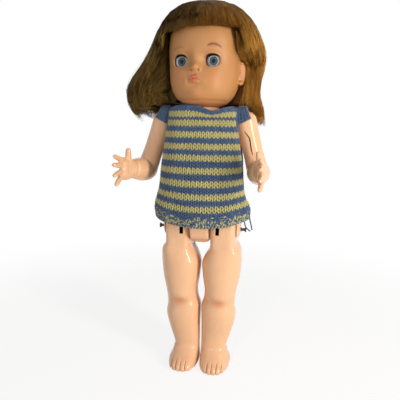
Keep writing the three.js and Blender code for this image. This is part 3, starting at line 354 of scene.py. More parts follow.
def hair_fibre(colours, name, dark=0.0):
    """Shiny synthetic fibre, tuft by tuft, with painted light: gold towards the doll's left, where the light
    falls, and darker towards its right in painted shade; painted shade also on the crown, near the roots and,
    where asked, all through.
    """
    finish = Finish(name)
    place = finish.place(-HEAD_TURN)
    x, y, z = finish.axes(place)
    tone, along = finish.attribute("tone"), finish.attribute("along")
    # Painted side light: the hair turns lighter and more yellow towards the doll's left, where the light
    # falls, and darker olive towards its right, in painted shade
    painted_side_light = x.step(-60.0, 60.0)
    streak = finish.noise(place, 0.16, 3.0, stretch=(1.0, 1.0, 0.12))
    main = finish.mix(painted_side_light, linear(122, 94, 44), colours.hair)
    light = finish.mix(painted_side_light, linear(156, 124, 66), colours.hair_light)
    lit = (streak.step(0.45, 0.7) * 0.5 + tone * 0.5 - 0.2).clipped()
    shaded = ((1.0 - tone).step(0.5, 1.0) * 0.5 + (1.0 - streak).step(0.5, 0.7) * 0.35).clipped()
    red = (x - 34.0).within(24.0) * (z - 520.0).within(14.0) * (y * -1.0).step(10.0, 40.0)
    # Painted shade: the crown darkens towards the top, less on the lit side, the hair darkens near its roots,
    # and dark adds painted shade all through
    crown = (z - 496.0).step(0.0, 42.0) * (0.86 - painted_side_light * 0.4)
    deep = ((1.0 - along).step(0.8, 1.0) * 0.25 + dark + crown).clipped()
    colour = finish.painted(main, (lit, light), (shaded, colours.hair_dark_and_shade), (red * 0.6, linear(150, 88, 32)),
                            (deep, colours.hair_dark_and_shade))
    fine = finish.noise(place, 1.9, stretch=(1.0, 1.0, 0.06))
    return finish.surface(Base_Color=colour, Roughness=0.46 + tone * 0.12, IOR=1.28,
                          Normal=finish.bump(fine, 0.0008, 0.8))


def yarn(name, colour, second=None):
    """Two-ply wool: twisted plies with painted shade in the grooves between them, loose fibres and a soft
    sheen. A second colour follows the tone.
    """
    finish = Finish(name)
    place = finish.place()
    plies = finish.attribute("along") * 2.6 + finish.attribute("around") * 2.0
    ply = finish.math("SINE", plies * (2 * math.pi))
    fibre = finish.noise(place, 2.6, 4.0, 0.7, stretch=(1.0, 1.0, 1.6))
    broad = finish.noise(place, 0.03)
    dark_tone_and_shade = darker(colour, 0.5)
    # Painted shade: the darker half of each ply twist stands for the shade in the groove between the plies;
    # the darker fibres and broad patches are the wool's own uneven tone
    made = finish.painted(colour, (ply.step(-0.1, -1.0) * 0.7, dark_tone_and_shade),
                          (fibre.step(0.52, 0.75) * 0.5, paler(colour, 1.35)),
                          (fibre.step(0.48, 0.25) * 0.4, dark_tone_and_shade), (broad.step(0.4, 0.7) * 0.18, dark_tone_and_shade))
    if second is not None:
        tone = finish.attribute("tone") * (ply * 0.5 + 0.8)
        made = finish.mix(tone.step(0.35, 0.65), made, second)
    return finish.surface(Base_Color=made, Roughness=0.88, IOR=1.4, Sheen_Weight=0.35, Sheen_Roughness=0.5,
                          Normal=finish.bump(ply * 0.5 + fibre * 0.9, 0.0005, 0.8))


def backing_painted_shade(colours):
    """The far side of the stitches, seen only between them, painted dark as the shade between the stitches.
    """
    finish = Finish("knit_backing")
    place = finish.place()
    fibre = finish.noise(place, 1.1, 4.0, 0.7)
    colour = finish.painted(darker(colours.blue, 0.28),
                            (yellow_share(finish.axes(place)[2]), darker(colours.yellow, 0.32)),
                            (fibre.step(0.4, 0.7) * 0.5, darker(colours.blue, 0.2)))
    return finish.surface(Base_Color=colour, Roughness=0.95, IOR=1.4, Sheen_Weight=0.2,
                          Normal=finish.bump(fibre, 0.001, 0.8))


def metal(name, colour, roughness, rust=0.0):
    """Aged bare steel with fine drawn scratches and a little rust."""
    finish = Finish(name)
    place = finish.place()
    scratch = finish.noise(place, 1.4, 4.0, stretch=(0.2, 2.0, 2.0))
    rusty = finish.noise(place, 0.35, 3.0).step(0.5, 0.75) * rust
    made = finish.painted(colour, (scratch * 0.5, darker(colour, 0.55)), (rusty, linear(96, 60, 36)))
    return finish.surface(Base_Color=made, Metallic=1.0 - rusty, Roughness=roughness + scratch * 0.2,
                          Normal=finish.bump(scratch, 0.0003, 0.4))


def plain_moulding(name, colour, roughness):
    """A moulded or cast surface with a faint grain and uneven tone."""
    finish = Finish(name)
    place = finish.place()
    grain = finish.noise(place, 0.9, 3.0)
    made = finish.mix(finish.noise(place, 0.08) * 0.4, colour, darker(colour, 0.75))
    return finish.surface(Base_Color=made, Roughness=roughness + grain * 0.12,
                          Normal=finish.bump(grain, 0.0003, 0.5))


def dark_gap():
    """The unlit inside of a slot or an open seam."""
    finish = Finish("doll_gap")
    made = finish.mix(finish.noise(finish.place(), 0.6), linear(24, 14, 9), linear(44, 26, 16))
    return finish.surface(Base_Color=made, Roughness=0.8, IOR=1.4)


def eye_finish(colours):
    """White plastic with a rayed iris, a dark rim, a pupil and a lid, drawn round the eye's own middle."""
    finish = Finish("eyeball")
    across, up = finish.attribute("across"), finish.attribute("up")
    spread = (across ** 2 + up ** 2) ** 0.5
    angle = finish.math("ARCTAN2", up, across)
    rays = finish.math("SINE", angle * 34.0) * 0.5 + 0.5
    round_eye = finish.node("ShaderNodeCombineXYZ", {}, {0: angle * 3.0, 1: spread * 0.6})
    wobble = finish.noise(round_eye, 2.2, 3.0)
    ray = (rays * 0.6 + wobble * 0.7).clipped()
    white = finish.mix(finish.noise(finish.place(), 0.2) * 0.25, linear(222, 222, 220), linear(198, 200, 202))
    colour = finish.painted(darker(colours.iris, 0.2), (ray, paler(colours.iris, 1.7)),
                            (spread.step(3.4, 5.0) * 0.7, colours.iris),
                            (spread.step(4.9, 6.0) * 0.85, linear(30, 40, 54)),
                            ((3.0 - spread).step(-0.5, 0.5), linear(3, 3, 5)),
                            ((spread - 6.0).step(-0.25, 0.25), white),
                            ((up - LID_EDGE).step(-0.12, 0.12), darker(colours.face, 0.92)),
                            ((up - LID_EDGE + 0.1).within(0.3) * 0.9, linear(26, 18, 15)))
    return finish.surface(Base_Color=colour, Roughness=0.1, IOR=1.36)


def clear_dome():
    """The clear plastic dome over an iris."""
    finish = Finish("clear_dome")
    haze = finish.noise(finish.place(), 0.5)
    return finish.surface(Base_Color=(0.02, 0.02, 0.02), IOR=1.45, Roughness=0.03 + haze * 0.02, Alpha=0.1,
                          Specular_IOR_Level=0.9)


# Shapes in millimetres from the body's middle
def smooth_rows(rows, steps):
    """Rows of numbers filled in by a smooth curve through them."""
    rows = np.array(rows, float)
    padded = np.vstack([rows[:1], rows, rows[-1:]])
    filled = []
    for i in range(len(rows) - 1):
        a, b, c, d = padded[i:i + 4]
        for step in range(steps):
            t = step / steps
            filled.append(b + 0.5 * t * (c - a + t * (2 * a - 5 * b + 4 * c - d + t * (3 * (b - c) + d - a))))
    filled.append(rows[-1])
    return np.array(filled)


def round_turns(sides):
    return (np.arange(sides) + 0.5) * 2 * math.pi / sides


def full_turns(sides):
    return np.arange(sides) * 2 * math.pi / sides


def squared(wave, square):
    """A sine or cosine drawn out from a circle's towards a square's."""
    return np.sign(wave) * np.abs(wave) ** (2 / square)


def level_rings(rows, turns):
    """Level rings: each row is height, middle x, reach to -X, reach to +X, front, back, squareness."""
    z, middle, inner, outer, front, back, square = (rows[:, k:k + 1] for k in range(7))
    across, along = squared(np.cos(turns)[None], square), squared(np.sin(turns)[None], square)
    x = middle + across * np.where(across > 0, outer, inner)
    y = along * np.where(along > 0, back, front)
    return np.stack([x, y, np.broadcast_to(z, x.shape)], -1)


def ring_rows(z, half, front, back, square, middle=0.0):
    """Rows for level rings from their columns, the same to both sides."""
    return np.stack([z, middle + 0 * z, half, half, front, back, square + 0 * z], -1)


def units(vectors, small=0.0):
    """Vectors at length one. A small number keeps an empty vector from dividing by nothing."""
    return vectors / (np.linalg.norm(vectors, axis=-1, keepdims=True) + small)


def near(distance, width):
    return np.exp(-((distance / width) ** 2))


def ramp(value, low, high):
    t = np.clip((value - low) / (high - low), 0, 1)
    return t * t * (3 - 2 * t)


def lengths_along(points):
    """How far along its line each point lies."""
    steps = np.linalg.norm(np.diff(points, axis=-2), axis=-1)
    return np.concatenate([0 * steps[..., :1], np.cumsum(steps, -1)], -1)


def spaced(points, length, at):
    """The places on one line at given lengths along it."""
    return np.stack([np.interp(at, length, points[:, k]) for k in range(3)], -1)


def placed(place):
    """A place in millimetres from the body's middle, in metres from the origin."""
    return Vector(place) * MM + MIDDLE


def span(side, inner, outer):
    """Two places along X on the doll's left, 1, or right, -1, with the lower one first."""
    return sorted((inner * side, outer * side))


def nothing_selected():
    if bpy.context.object and bpy.context.object.mode != "OBJECT":
        bpy.ops.object.mode_set(mode="OBJECT")
    bpy.ops.object.select_all(action="DESELECT")


def only(piece):
    nothing_selected()
    piece.select_set(True)
    bpy.context.view_layer.objects.active = piece
    return piece


def points_of(piece):
    """A piece's points in millimetres from the body's middle."""
    flat = np.empty(len(piece.data.vertices) * 3, np.float32)
    piece.data.vertices.foreach_get("co", flat)
    return (flat.reshape(-1, 3).astype(float) - np.array(MIDDLE)) / MM


def normals_of(piece):
    flat = np.empty(len(piece.data.vertices) * 3, np.float32)
    piece.data.vertex_normals.foreach_get("vector", flat)
    return flat.reshape(-1, 3).astype(float)


def set_points(piece, points):
    placed = points * MM + np.array(MIDDLE)
    piece.data.vertices.foreach_set("co", placed.astype(np.float32).ravel())
    piece.data.update()


def mesh_piece(name, points, faces):
    """A mesh from many points and equal-sided faces at once."""
    mesh = bpy.data.meshes.new(name)
    faces = np.asarray(faces, np.int32)
    corners = faces.shape[1]
    mesh.vertices.add(len(points))
    mesh.loops.add(faces.size)
    mesh.loops.foreach_set("vertex_index", faces.ravel())
    mesh.polygons.add(len(faces))
    mesh.polygons.foreach_set("loop_start", np.arange(0, faces.size, corners, dtype=np.int32))
    mesh.polygons.foreach_set("use_smooth", np.ones(len(faces), bool))
    piece = bpy.data.objects.new(name, mesh)
    bpy.context.collection.objects.link(piece)
    set_points(piece, np.asarray(points))
    mesh.update(calc_edges=True)
    return piece


def skin(name, rings):
    """A closed skin over equal rings: a grid rolled round, with its two ends filled."""
    rows, sides = rings.shape[:2]
    nothing_selected()
    bpy.ops.mesh.primitive_grid_add(x_subdivisions=sides, y_subdivisions=rows - 1, size=1)
    piece = bpy.context.object
    piece.name = name
    rolled = np.concatenate([rings, rings[:, :1]], 1)
    set_points(piece, rolled.reshape(-1, 3))
    bpy.ops.object.mode_set(mode="EDIT")
    bpy.ops.mesh.select_all(action="SELECT")
    bpy.ops.mesh.remove_doubles(threshold=1e-6)
    bpy.ops.mesh.select_all(action="DESELECT")
    bpy.ops.mesh.select_mode(type="EDGE")
    bpy.ops.mesh.select_non_manifold()
    bpy.ops.mesh.fill_holes(sides=0)
    bpy.ops.object.mode_set(mode="OBJECT")
    faced_outward(piece)
    bpy.ops.object.shade_smooth()
    return piece


def faced_outward(piece):
    only(piece)
    bpy.ops.object.mode_set(mode="EDIT")
    bpy.ops.mesh.select_all(action="SELECT")
    bpy.ops.mesh.normals_make_consistent(inside=False)
    bpy.ops.object.mode_set(mode="OBJECT")
    return piece


def joined(name, pieces):
    nothing_selected()
    for piece in pieces:
        piece.select_set(True)
    bpy.context.view_layer.objects.active = pieces[0]
    bpy.ops.object.join()
    bpy.context.object.name = name
    return bpy.context.object


def applied(piece, kind, **settings):
    """Adds one modifier and applies it."""
    only(piece)
    modifier = piece.modifiers.new(kind.lower(), kind)
    for key, value in settings.items():
        setattr(modifier, key, value)
    bpy.ops.object.modifier_apply(modifier=modifier.name)
    return piece


def melted(piece, voxel, rounds):
    """Runs touching solids together into one smooth skin."""
    applied(piece, "REMESH", mode="VOXEL", voxel_size=voxel, use_smooth_shade=True)
    applied(piece, "SMOOTH", factor=0.5, iterations=rounds)
    return piece


def cut(piece, cutter, operation="DIFFERENCE"):
    """Cuts one solid by another, which is then gone."""
    applied(piece, "BOOLEAN", object=cutter, operation=operation, solver="MANIFOLD", material_mode="TRANSFER")
    bpy.data.objects.remove(cutter)
    return piece


def coated(piece, material):
    """Gives a piece its one material, or leaves it bare."""
    piece.data.materials.clear()
    if material:
        piece.data.materials.append(material)
    return piece


def block(x0, x1, y0, y1, z0, z1, material=None):
    """A box cutter between two corners."""
    nothing_selected()
    bpy.ops.mesh.primitive_cube_add(size=1, location=placed(((x0 + x1) / 2, (y0 + y1) / 2, (z0 + z1) / 2)))
    bpy.context.object.scale = Vector((x1 - x0, y1 - y0, z1 - z0)) * MM
    bpy.ops.object.transform_apply(location=True, scale=True)
    return coated(bpy.context.object, material)


def rod(axis, start, end, radius, centre=(0.0, 0.0), sides=48, material=None):
    """A round bar along X, Y or Z between two places on that axis."""
    turn = {"x": (0, math.pi / 2, 0), "y": (math.pi / 2, 0, 0), "z": (0, 0, 0)}[axis]
    middle = (start + end) / 2
    place = {"x": (middle, *centre), "y": (centre[0], middle, centre[1]), "z": (*centre, middle)}[axis]
    nothing_selected()
    bpy.ops.mesh.primitive_cylinder_add(vertices=sides, radius=radius * MM, depth=(end - start) * MM,
                                        location=placed(place), rotation=turn)
    bpy.ops.object.transform_apply(location=True, rotation=True)
    return coated(bpy.context.object, material)


def ball(centre, radii, sides=32):
    nothing_selected()
    bpy.ops.mesh.primitive_uv_sphere_add(segments=sides, ring_count=sides // 2, radius=MM,
                                         location=placed(centre))
    bpy.context.object.scale = radii
    bpy.ops.object.transform_apply(location=True, scale=True)
    bpy.ops.object.shade_smooth()
    return bpy.context.object


def mirrored(piece, name):
    """A copy on the other side of the body's middle."""
    copy = piece.copy()
    copy.data = piece.data.copy()
    copy.name = name
    bpy.context.collection.objects.link(copy)
    points = points_of(copy)
    points[:, 0] *= -1
    set_points(copy, points)
    copy.data.flip_normals()
    return copy


def finished(piece, body=None, stands_for=()):
    """Puts a piece under what carries it, and hides the solids that it stands for."""
    if body:
        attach(piece, body)
    if stands_for:
        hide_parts(*stands_for)
    return piece


def moulded(piece, body, nodes, sharp=40):
    """Smooths a piece but for its sharp edges, and finishes it."""
    only(piece)
    bpy.ops.object.shade_smooth_by_angle(angle=math.radians(sharp))
    return finished(piece, body, nodes)


def mark(piece, name, values):
    """Keeps one number for each point, which a material reads."""
    held = piece.data.attributes.new(name, "FLOAT", "POINT")
    held.data.foreach_set("value", np.ascontiguousarray(values, np.float32).ravel())


def tube_rings(paths, radii, sides, closed=False, guide=None):
    """Rings of points square to lines, turned by a guide direction. Lines run along the last axis but one."""
    if closed:
        along = units(np.roll(paths, -1, -2) - np.roll(paths, 1, -2), TINY)
    else:
        along = units(np.gradient(paths, axis=-2), TINY)
    if guide is None:
        guide = np.where(np.abs(along[..., 2:]) < 0.9, UPWARD, OUTWARD)
    side = units(np.cross(along, guide), TINY)[..., None, :]
    third = np.cross(along, side[..., 0, :])[..., None, :]
    turns = full_turns(sides)[:, None]
    outward = side * np.cos(turns) + third * np.sin(turns)
    return paths[..., None, :] + outward * np.asarray(radii)[..., None, None]


def quads_between(here, ahead):
    """Faces between rings of point numbers and the rings ahead of them."""
    return np.stack([here, np.roll(here, -1, -1), np.roll(ahead, -1, -1), ahead], -1).reshape(-1, 4)


def tube_faces(index, closed=False):
    """The faces of tubes from their point numbers, tubes x rings x sides. Open ends are filled."""
    if closed:
        return quads_between(index, np.roll(index, -1, 1))
    return np.concatenate([quads_between(index[:, :-1], index[:, 1:]), *caps(index[:, 0], True),
                           *caps(index[:, -1], False)])


def caps(ring, turned):
    """Closing faces over the end of each tube with three or with an even number of sides."""
    if ring.shape[1] == 3:
        return [ring[:, [0, 2, 1, 1] if turned else [0, 1, 2, 2]]]
    faces = [ring[:, [0, k, k + 1, k + 2]] for k in range(1, ring.shape[1] - 2, 2)]
    return [face[:, ::-1] for face in faces] if turned else faces


def tubes(name, paths, radii, sides, tone=None):
    """Many tubes at once. paths is tubes x points x 3, radii tubes x points, tone a value for each tube."""
    index = np.arange(paths[..., 0].size * sides).reshape(*paths.shape[:2], sides)
    piece = mesh_piece(name, tube_rings(paths, radii, sides).reshape(-1, 3), tube_faces(index))
    mark(piece, "along", np.broadcast_to(np.linspace(0, 1, paths.shape[1])[:, None], index.shape))
    if tone is not None:
        mark(piece, "tone", np.broadcast_to(tone[:, None, None], index.shape))
    piece.data.validate()
    return piece


WORLD_LIGHT = 0.43
WHITE = (1.0, 1.0, 1.0)
FLOOR_GLOW, FLOOR_FADE = 0.82, (0.28, 0.9)  # share of plain white near the doll, and where the rest fades out
# Each lamp: height it looks at, azimuth, height, distance, size, watts and colour
LAMPS = {
    "key": (0.2, -8.0, 0.5, 0.9, (0.16, 0.16), 1.5, (1.0, 0.97, 0.92)),
    "side": (0.25, 56.0, 0.36, 0.95, (0.12, 0.66), 8.0, (1.0, 0.95, 0.86)),
    "back": (0.4, 150.0, 0.9, 1.0, (0.5, 0.5), 1.2, (1.0, 0.95, 0.88)),
}


def lamp(name, aim, azimuth, height, away, size, watts, colour):
    """A soft box that looks at a height over the doll. Azimuth 0 is straight in front of it."""
    turn = math.radians(azimuth)
    place = MIDDLE + Vector((away * math.sin(turn), -away * math.cos(turn), height))
    data = bpy.data.lights.new(name, "AREA")
    data.shape = "RECTANGLE"
    data.size, data.size_y = size
    data.energy = watts
    data.color = colour
    made = bpy.data.objects.new(name, data)
    bpy.context.collection.objects.link(made)
    made.location = place
    made.rotation_euler = (MIDDLE + Vector((0, 0, aim)) - place).to_track_quat("-Z", "Y").to_euler()


def seen_directly(finish):
    """1 for what the camera, a mirror or a clear solid shows, and 0 for what lights the doll."""
    return summed([finish.node("ShaderNodeLightPath", {}, {}, f"Is {kind} Ray")
                   for kind in ("Camera", "Glossy", "Transmission")])


def pale_world():
    finish = Finish("studio", bpy.data.worlds)
    bpy.context.scene.world = finish.material
    strength = seen_directly(finish) * (1.0 - WORLD_LIGHT) + WORLD_LIGHT
    back = finish.node("ShaderNodeBackground", {}, {"Color": WHITE, "Strength": strength})
    finish.shown(back, "ShaderNodeOutputWorld")


def pale_floor():
    """White floor that keeps the doll's soft shadow and runs out into the white behind it."""
    finish = Finish("pale_floor")
    x, y, _ = finish.axes(finish.object_place())
    far = ((x ** 2 + y ** 2) ** 0.5).step(*FLOOR_FADE)
    matt = finish.node("ShaderNodeBsdfDiffuse", {}, {"Color": (0.82, 0.82, 0.82), "Roughness": 0.6})
    glow = finish.node("ShaderNodeEmission", {}, {"Color": WHITE, "Strength": 1.0})
    shown = matt
    for share in (FLOOR_GLOW, far):
        shown = finish.node("ShaderNodeMixShader", {}, {0: share, 1: shown, 2: glow})
    return finish.shown(finish.node("ShaderNodeMixShader", {}, {0: seen_directly(finish), 1: matt, 2: shown}))


# The camera's place and angles, fitted to the photograph
CAMERA_AWAY, CAMERA_HEIGHT, CAMERA_LENS, CAMERA_SHIFT = 0.65, 0.375, 38.16, -0.0075
CAMERA_TURN, CAMERA_TILT, CAMERA_ROLL = math.radians(10.0), math.atan(0.1642), math.radians(1.0)


class DOLL_OT_camera(Operator):
    """Sets the camera a little to the doll's left, above its middle, and looking slightly down"""

    bl_idname = "doll.camera"
    bl_label = "Camera"

    def execute(self, context):
        turn, tilt, roll = CAMERA_TURN, CAMERA_TILT, CAMERA_ROLL
        ahead = Vector((-math.sin(turn) * math.cos(tilt), math.cos(turn) * math.cos(tilt), -math.sin(tilt)))
        level = Vector((math.cos(turn), math.sin(turn), 0.0))
        rise = level.cross(ahead)
        right = level * math.cos(roll) + rise * math.sin(roll)
        up = rise * math.cos(roll) - level * math.sin(roll)
        place = MIDDLE + Vector((CAMERA_AWAY * math.sin(turn), -CAMERA_AWAY * math.cos(turn), CAMERA_HEIGHT))
        data = bpy.data.cameras.new("camera")
        data.lens = CAMERA_LENS
        data.shift_x = CAMERA_SHIFT
        camera = bpy.data.objects.new("camera", data)
        context.collection.objects.link(camera)
        columns = (right, up, -ahead)
        turned = Matrix([[column[row] for column in columns] for row in range(3)])
        camera.matrix_world = Matrix.Translation(place) @ turned.to_4x4()
        context.scene.camera = camera
        return {"FINISHED"}


TAIL_RADIUS = 1.0
TAILS = {
    "yarn_tail_inner": ((65.2, -14, HEM + 20), (66.4, -14, HEM + 5),
                        (68.9, -14.5, HEM - 3.4), (75.6, -15.5, HEM - 9)),
    "yarn_tail_outer": ((72.6, -16, HEM + 22), (74.4, -15, HEM + 9),
                        (76.6, -12, HEM - 1), (77.8, -10, HEM - 8)),
}


class DOLL_OT_yarn_tails(Operator):
    """Hangs the two loose ends of yarn from the hem"""

    bl_idname = "doll.yarn_tails"
    bl_label = "Yarn tails"

    def execute(self, context):
        wool = yarn("tail_yarn", context.scene.doll_colours.blue)
        for name, route in TAILS.items():
            points = smooth_rows(route, 6) * MM + np.array(MIDDLE)
            curve = bpy.data.curves.new(name, "CURVE")
            curve.dimensions = "3D"
            spline = curve.splines.new("POLY")
            spline.points.add(len(points) - 1)
            for point, place in zip(spline.points, points):
                point.co = (*place, 1.0)
            curve.bevel_depth = TAIL_RADIUS * MM
            curve.bevel_resolution = 3
            curve.use_fill_caps = True
            tail = bpy.data.objects.new(name + "_yarn", curve)
            context.collection.objects.link(tail)
            curve.materials.append(wool)
            finished(tail, "torso", (name,))
        return {"FINISHED"}


class DOLL_OT_stage(Operator):
    """Lays the pale floor and sets the soft lamps"""

    bl_idname = "doll.stage"
    bl_label = "Stage"

    def execute(self, context):
        context.scene.view_settings.view_transform = "Standard"
        pale_world()
        nothing_selected()
        bpy.ops.mesh.primitive_plane_add(size=14.0)
        floor = coated(context.object, pale_floor())
        floor.name = "floor"
        for name, values in LAMPS.items():
            lamp(name, *values)
        return {"FINISHED"}


# The leg on the doll's left: height, half width, front, back, distance from the middle plane, squareness
LEG_ROWS = (
    (0.0, 20.0, 40.0, 20.0, 5.0, 2.5), (4.0, 24.0, 45.5, 23.5, 1.0, 2.5),
    (11.0, 24.0, 44.0, 24.5, 1.0, 2.4), (18.0, 22.0, 34.0, 24.0, 1.4, 2.3),
    (26.0, 21.0, 22.0, 22.5, 1.6, 2.2), (33.0, 20.3, 17.0, 21.0, 1.6, 2.2),
    (51.55, 23.3, 18.0, 22.5, 1.5, 2.2), (71.16, 26.1, 22.5, 29.0, 1.4, 2.2),
    (86.0, 27.5, 25.0, 31.0, 1.0, 2.2), (100.0, 26.5, 25.5, 28.0, 1.0, 2.2),
    (111.0, 25.0, 25.4, 25.0, 4.4, 2.2), (125.75, 25.2, 28.5, 25.6, 6.0, 2.2),
    (146.4, 28.8, 31.0, 30.0, 3.0, 2.2), (170.0, 31.0, 32.5, 33.0, 1.2, 2.2),
    (184.0, 28.5, 32.0, 33.5, 6.0, 2.5), (194.0, 24.4, 30.6, 32.5, 12.4, 3.2),
    (204.0, 19.35, 28.5, 29.0, 15.4, 4.4),
)
LUG_MIDDLE, LUG_HALF, LUG_RADIUS = 34.75, 19.55, 29.5
TOES = ((11.0, 4.0), (20.8, 2.8), (28.1, 2.8), (35.6, 2.8), (43.0, 2.6))  # middle and half width of each toe
CHEEK_RADIUS, PIN_RADIUS = 20.5, 2.6
FAR = 90.0  # a place outside the whole doll, for cutters
LEVER_X, SLOT_WIDTH, SLOT_FOOT = 27.5, 5.6, 220.0


def leg_rows():
    z, half, front, back, inward, square = np.array(LEG_ROWS).T
    return smooth_rows(ring_rows(z, half, front, back, square, inward + half), 6)


def lug_rows():
    """The round top of a leg, which turns in the body."""
    round_part = HIP + LUG_RADIUS * np.sin(np.linspace(0, math.pi / 2 * 0.97, 16))
    z = np.concatenate([[HIP - 26, HIP - 14], round_part])
    reach = np.sqrt(np.maximum(LUG_RADIUS ** 2 - np.maximum(0.0, z - HIP) ** 2, 4.0))
    return ring_rows(z, LUG_HALF + 0 * z, reach, reach, 5.0, LUG_MIDDLE)


def leg_relief(points, normals):
    """How far the moulding stands out of the plain leg at each place."""
    x, y, z = points.T
    ahead = np.clip(-normals[:, 1], 0, 1)
    aside = np.abs(x - 29.0)
    rise = 1.3 * near(aside, 10.5) * near(z - 121.5, 6.5) * ahead
    rise -= 0.8 * near(aside, 12.0) * near(z - 112.0, 3.4) * ahead
    rise += 0.5 * near(aside, 12.0) * near(z - 104.0, 6.0) * ahead
    rise -= 0.4 * near(z - 27.5 + 0.25 * np.clip(-y, -20, 30), 2.4) * ahead
    for place in TOE_LINES:
        reach = ramp(-y, 30.0, 36.0) * ramp(18.0 - z, 0.0, 4.0)
        rise -= 1.5 * near(x - place, 0.8) * reach
    for place, wide in TOES:
        rise += 0.8 * near(x - place, wide) * near(z - 8.0, 7.0) * ramp(-y, 30.0, 38.0)
    return rise


def relieved(piece, relief):
    """Presses a relief into a piece along its own normals."""
    points, normals = points_of(piece), normals_of(piece)
    set_points(piece, points + normals * relief(points, normals)[:, None])
    return piece


def lever_slot(middle, half, *room):
    """A slot that a lever swings in, from its middle and half width."""
    return block(middle - half, middle + half, *room)


class DOLL_OT_legs(Operator):
    """Moulds the chubby legs with their knees, toes and slotted round tops"""

    bl_idname = "doll.legs"
    bl_label = "Legs"

    def execute(self, context):
        plastic, dark = bpy.data.materials["doll_plastic"], bpy.data.materials["doll_gap"]
        turns = round_turns(72)
        main = skin("leg_left", level_rings(leg_rows(), turns))
        lug = skin("lug", level_rings(lug_rows(), turns))
        cut(main, rod("x", LUG_MIDDLE + LUG_HALF + 0.2, FAR + 10, CHEEK_RADIUS + 1.4, (0.0, HIP)))
        cut(main, rod("x", -10.0, LUG_MIDDLE - LUG_HALF - 0.2, LUG_RADIUS + 0.9, (0.0, HIP)))
        leg = melted(joined("leg_left", [main, lug]), context.scene.doll_sizes.voxel, 5)
        cut(leg, block(-40.0, 1.0, -FAR, FAR, -5.0, 300.0))
        cut(leg, block(-40.0, FAR, -FAR, FAR, -9.0, 0.02))
        coated(relieved(leg, leg_relief), plastic)
        cut(leg, lever_slot(LEVER_X, SLOT_WIDTH / 2, -40.0, -6.0, SLOT_FOOT, 268.0, dark))
        cut(leg, rod("x", 0.0, FAR, PIN_RADIUS + 0.35, (0.0, HIP), 24, dark))
        for side, piece in (("left", leg), ("right", mirrored(leg, "leg_right"))):
            mark(piece, "seam", points_of(piece)[:, 1])
            moulded(piece, f"{side}_leg", (f"leg_{side}_front", f"leg_{side}_back"))
        return {"FINISHED"}


# The body: height, half width, front, back, squareness
BODY_ROWS = (
    (208.5, 48.5, 17.0, 19.0, 2.5), (212.5, 57.0, 28.0, 28.0, 2.5), (220.0, 59.9, 34.0, 34.0, 2.7),
    (233.15, 60.5, 37.0, 36.0, 2.7), (254.34, 59.0, 41.0, 35.0, 2.6), (283.68, 55.5, 42.0, 28.0, 2.5),
    (314.65, 53.0, 38.5, 26.0, 2.5), (352.14, 50.5, 35.0, 28.5, 2.5), (378.22, 51.1, 31.0, 27.5, 2.5),
    (393.0, 46.5, 27.0, 25.0, 2.5), (399.0, 39.0, 23.5, 23.0, 2.5), (404.0, 28.0, 21.5, 22.0, 2.2),
    (409.0, 21.0, 21.0, 21.0, 2.0),
)
CROTCH_ROWS = (
    (204.5, 9.0, 13.0, 14.0, 3.5), (206.0, 12.4, 19.0, 20.0, 3.5), (209.5, 14.0, 24.0, 26.0, 3.5),
    (225.0, 14.0, 32.0, 33.0, 3.5), (262.0, 14.0, 34.0, 30.0, 3.5),
)
CROTCH_HALF, HIP_HALF, CHEEK_WALL, WALL = 14.0, 60.5, 5.2, 2.8
SOCKET_RADIUS, SHOULDER_SEAT = 31.0, 49.15


def upright_rows(rows, shrink=0.0, steps=5):
    """Body rows as smooth level ring rows, drawn in by a wall's thickness if asked."""
    z, half, front, back, square = smooth_rows(rows, steps).T
    half, front, back = (np.maximum(side - shrink, 1.0) for side in (half, front, back))
    return ring_rows(z, half, front, back, square)


def prism(name, outline, start, end):
    """A solid along X whose outline is given as places on Y and Z."""
    count = len(outline)
    points = [(x, y, z) for x in (start, end) for y, z in outline]
    mesh = bpy.data.meshes.new(name)
    sides = [(k, (k + 1) % count, count + (k + 1) % count, count + k) for k in range(count)]
    ends = [tuple(range(count))[::-1], tuple(range(count, 2 * count))]
    mesh.from_pydata([tuple(placed(point)) for point in points], [], sides + ends)
    piece = bpy.data.objects.new(name, mesh)
    bpy.context.collection.objects.link(piece)
    return faced_outward(piece)


def arc_places(radius, middle, first, last, count):
    """Places on Y and Z along part of a circle round a height, between two angles in degrees."""
    turns = np.radians(np.linspace(first, last, count))
    return [(radius * math.cos(turn), middle + radius * math.sin(turn)) for turn in turns]


def cheek_room(side):
    """What is cut away round a hip cheek, so that its lower edge runs round the pin."""
    arc = arc_places(CHEEK_RADIUS, HIP, -202.0, 22.0, 40)
    shelf, foot = HIP + 19.6, 165.0
    outline = [(-38.0, shelf), *arc, (37.0, shelf), (80.0, shelf), (80.0, foot), (-80.0, foot),
               (-80.0, shelf)]
    return prism("cheek_room", outline, *span(side, CROTCH_HALF, FAR + 10))


def socket_room(side, grow=0.0):
    """The room in the body where a leg's round top turns."""
    x0, x1 = span(side, CROTCH_HALF - grow, HIP_HALF - CHEEK_WALL + grow)
    room = rod("x", x0, x1, SOCKET_RADIUS + grow, (0.0, HIP), 96)
    cut(room, block(x0, x1, -60.0, 60.0, HIP - 60, HIP), "UNION")
    return cut(room, block(x0, x1, -60.0, -SOCKET_RADIUS + 8 + grow, HIP - 60.5, HIP + 8 + grow), "UNION")


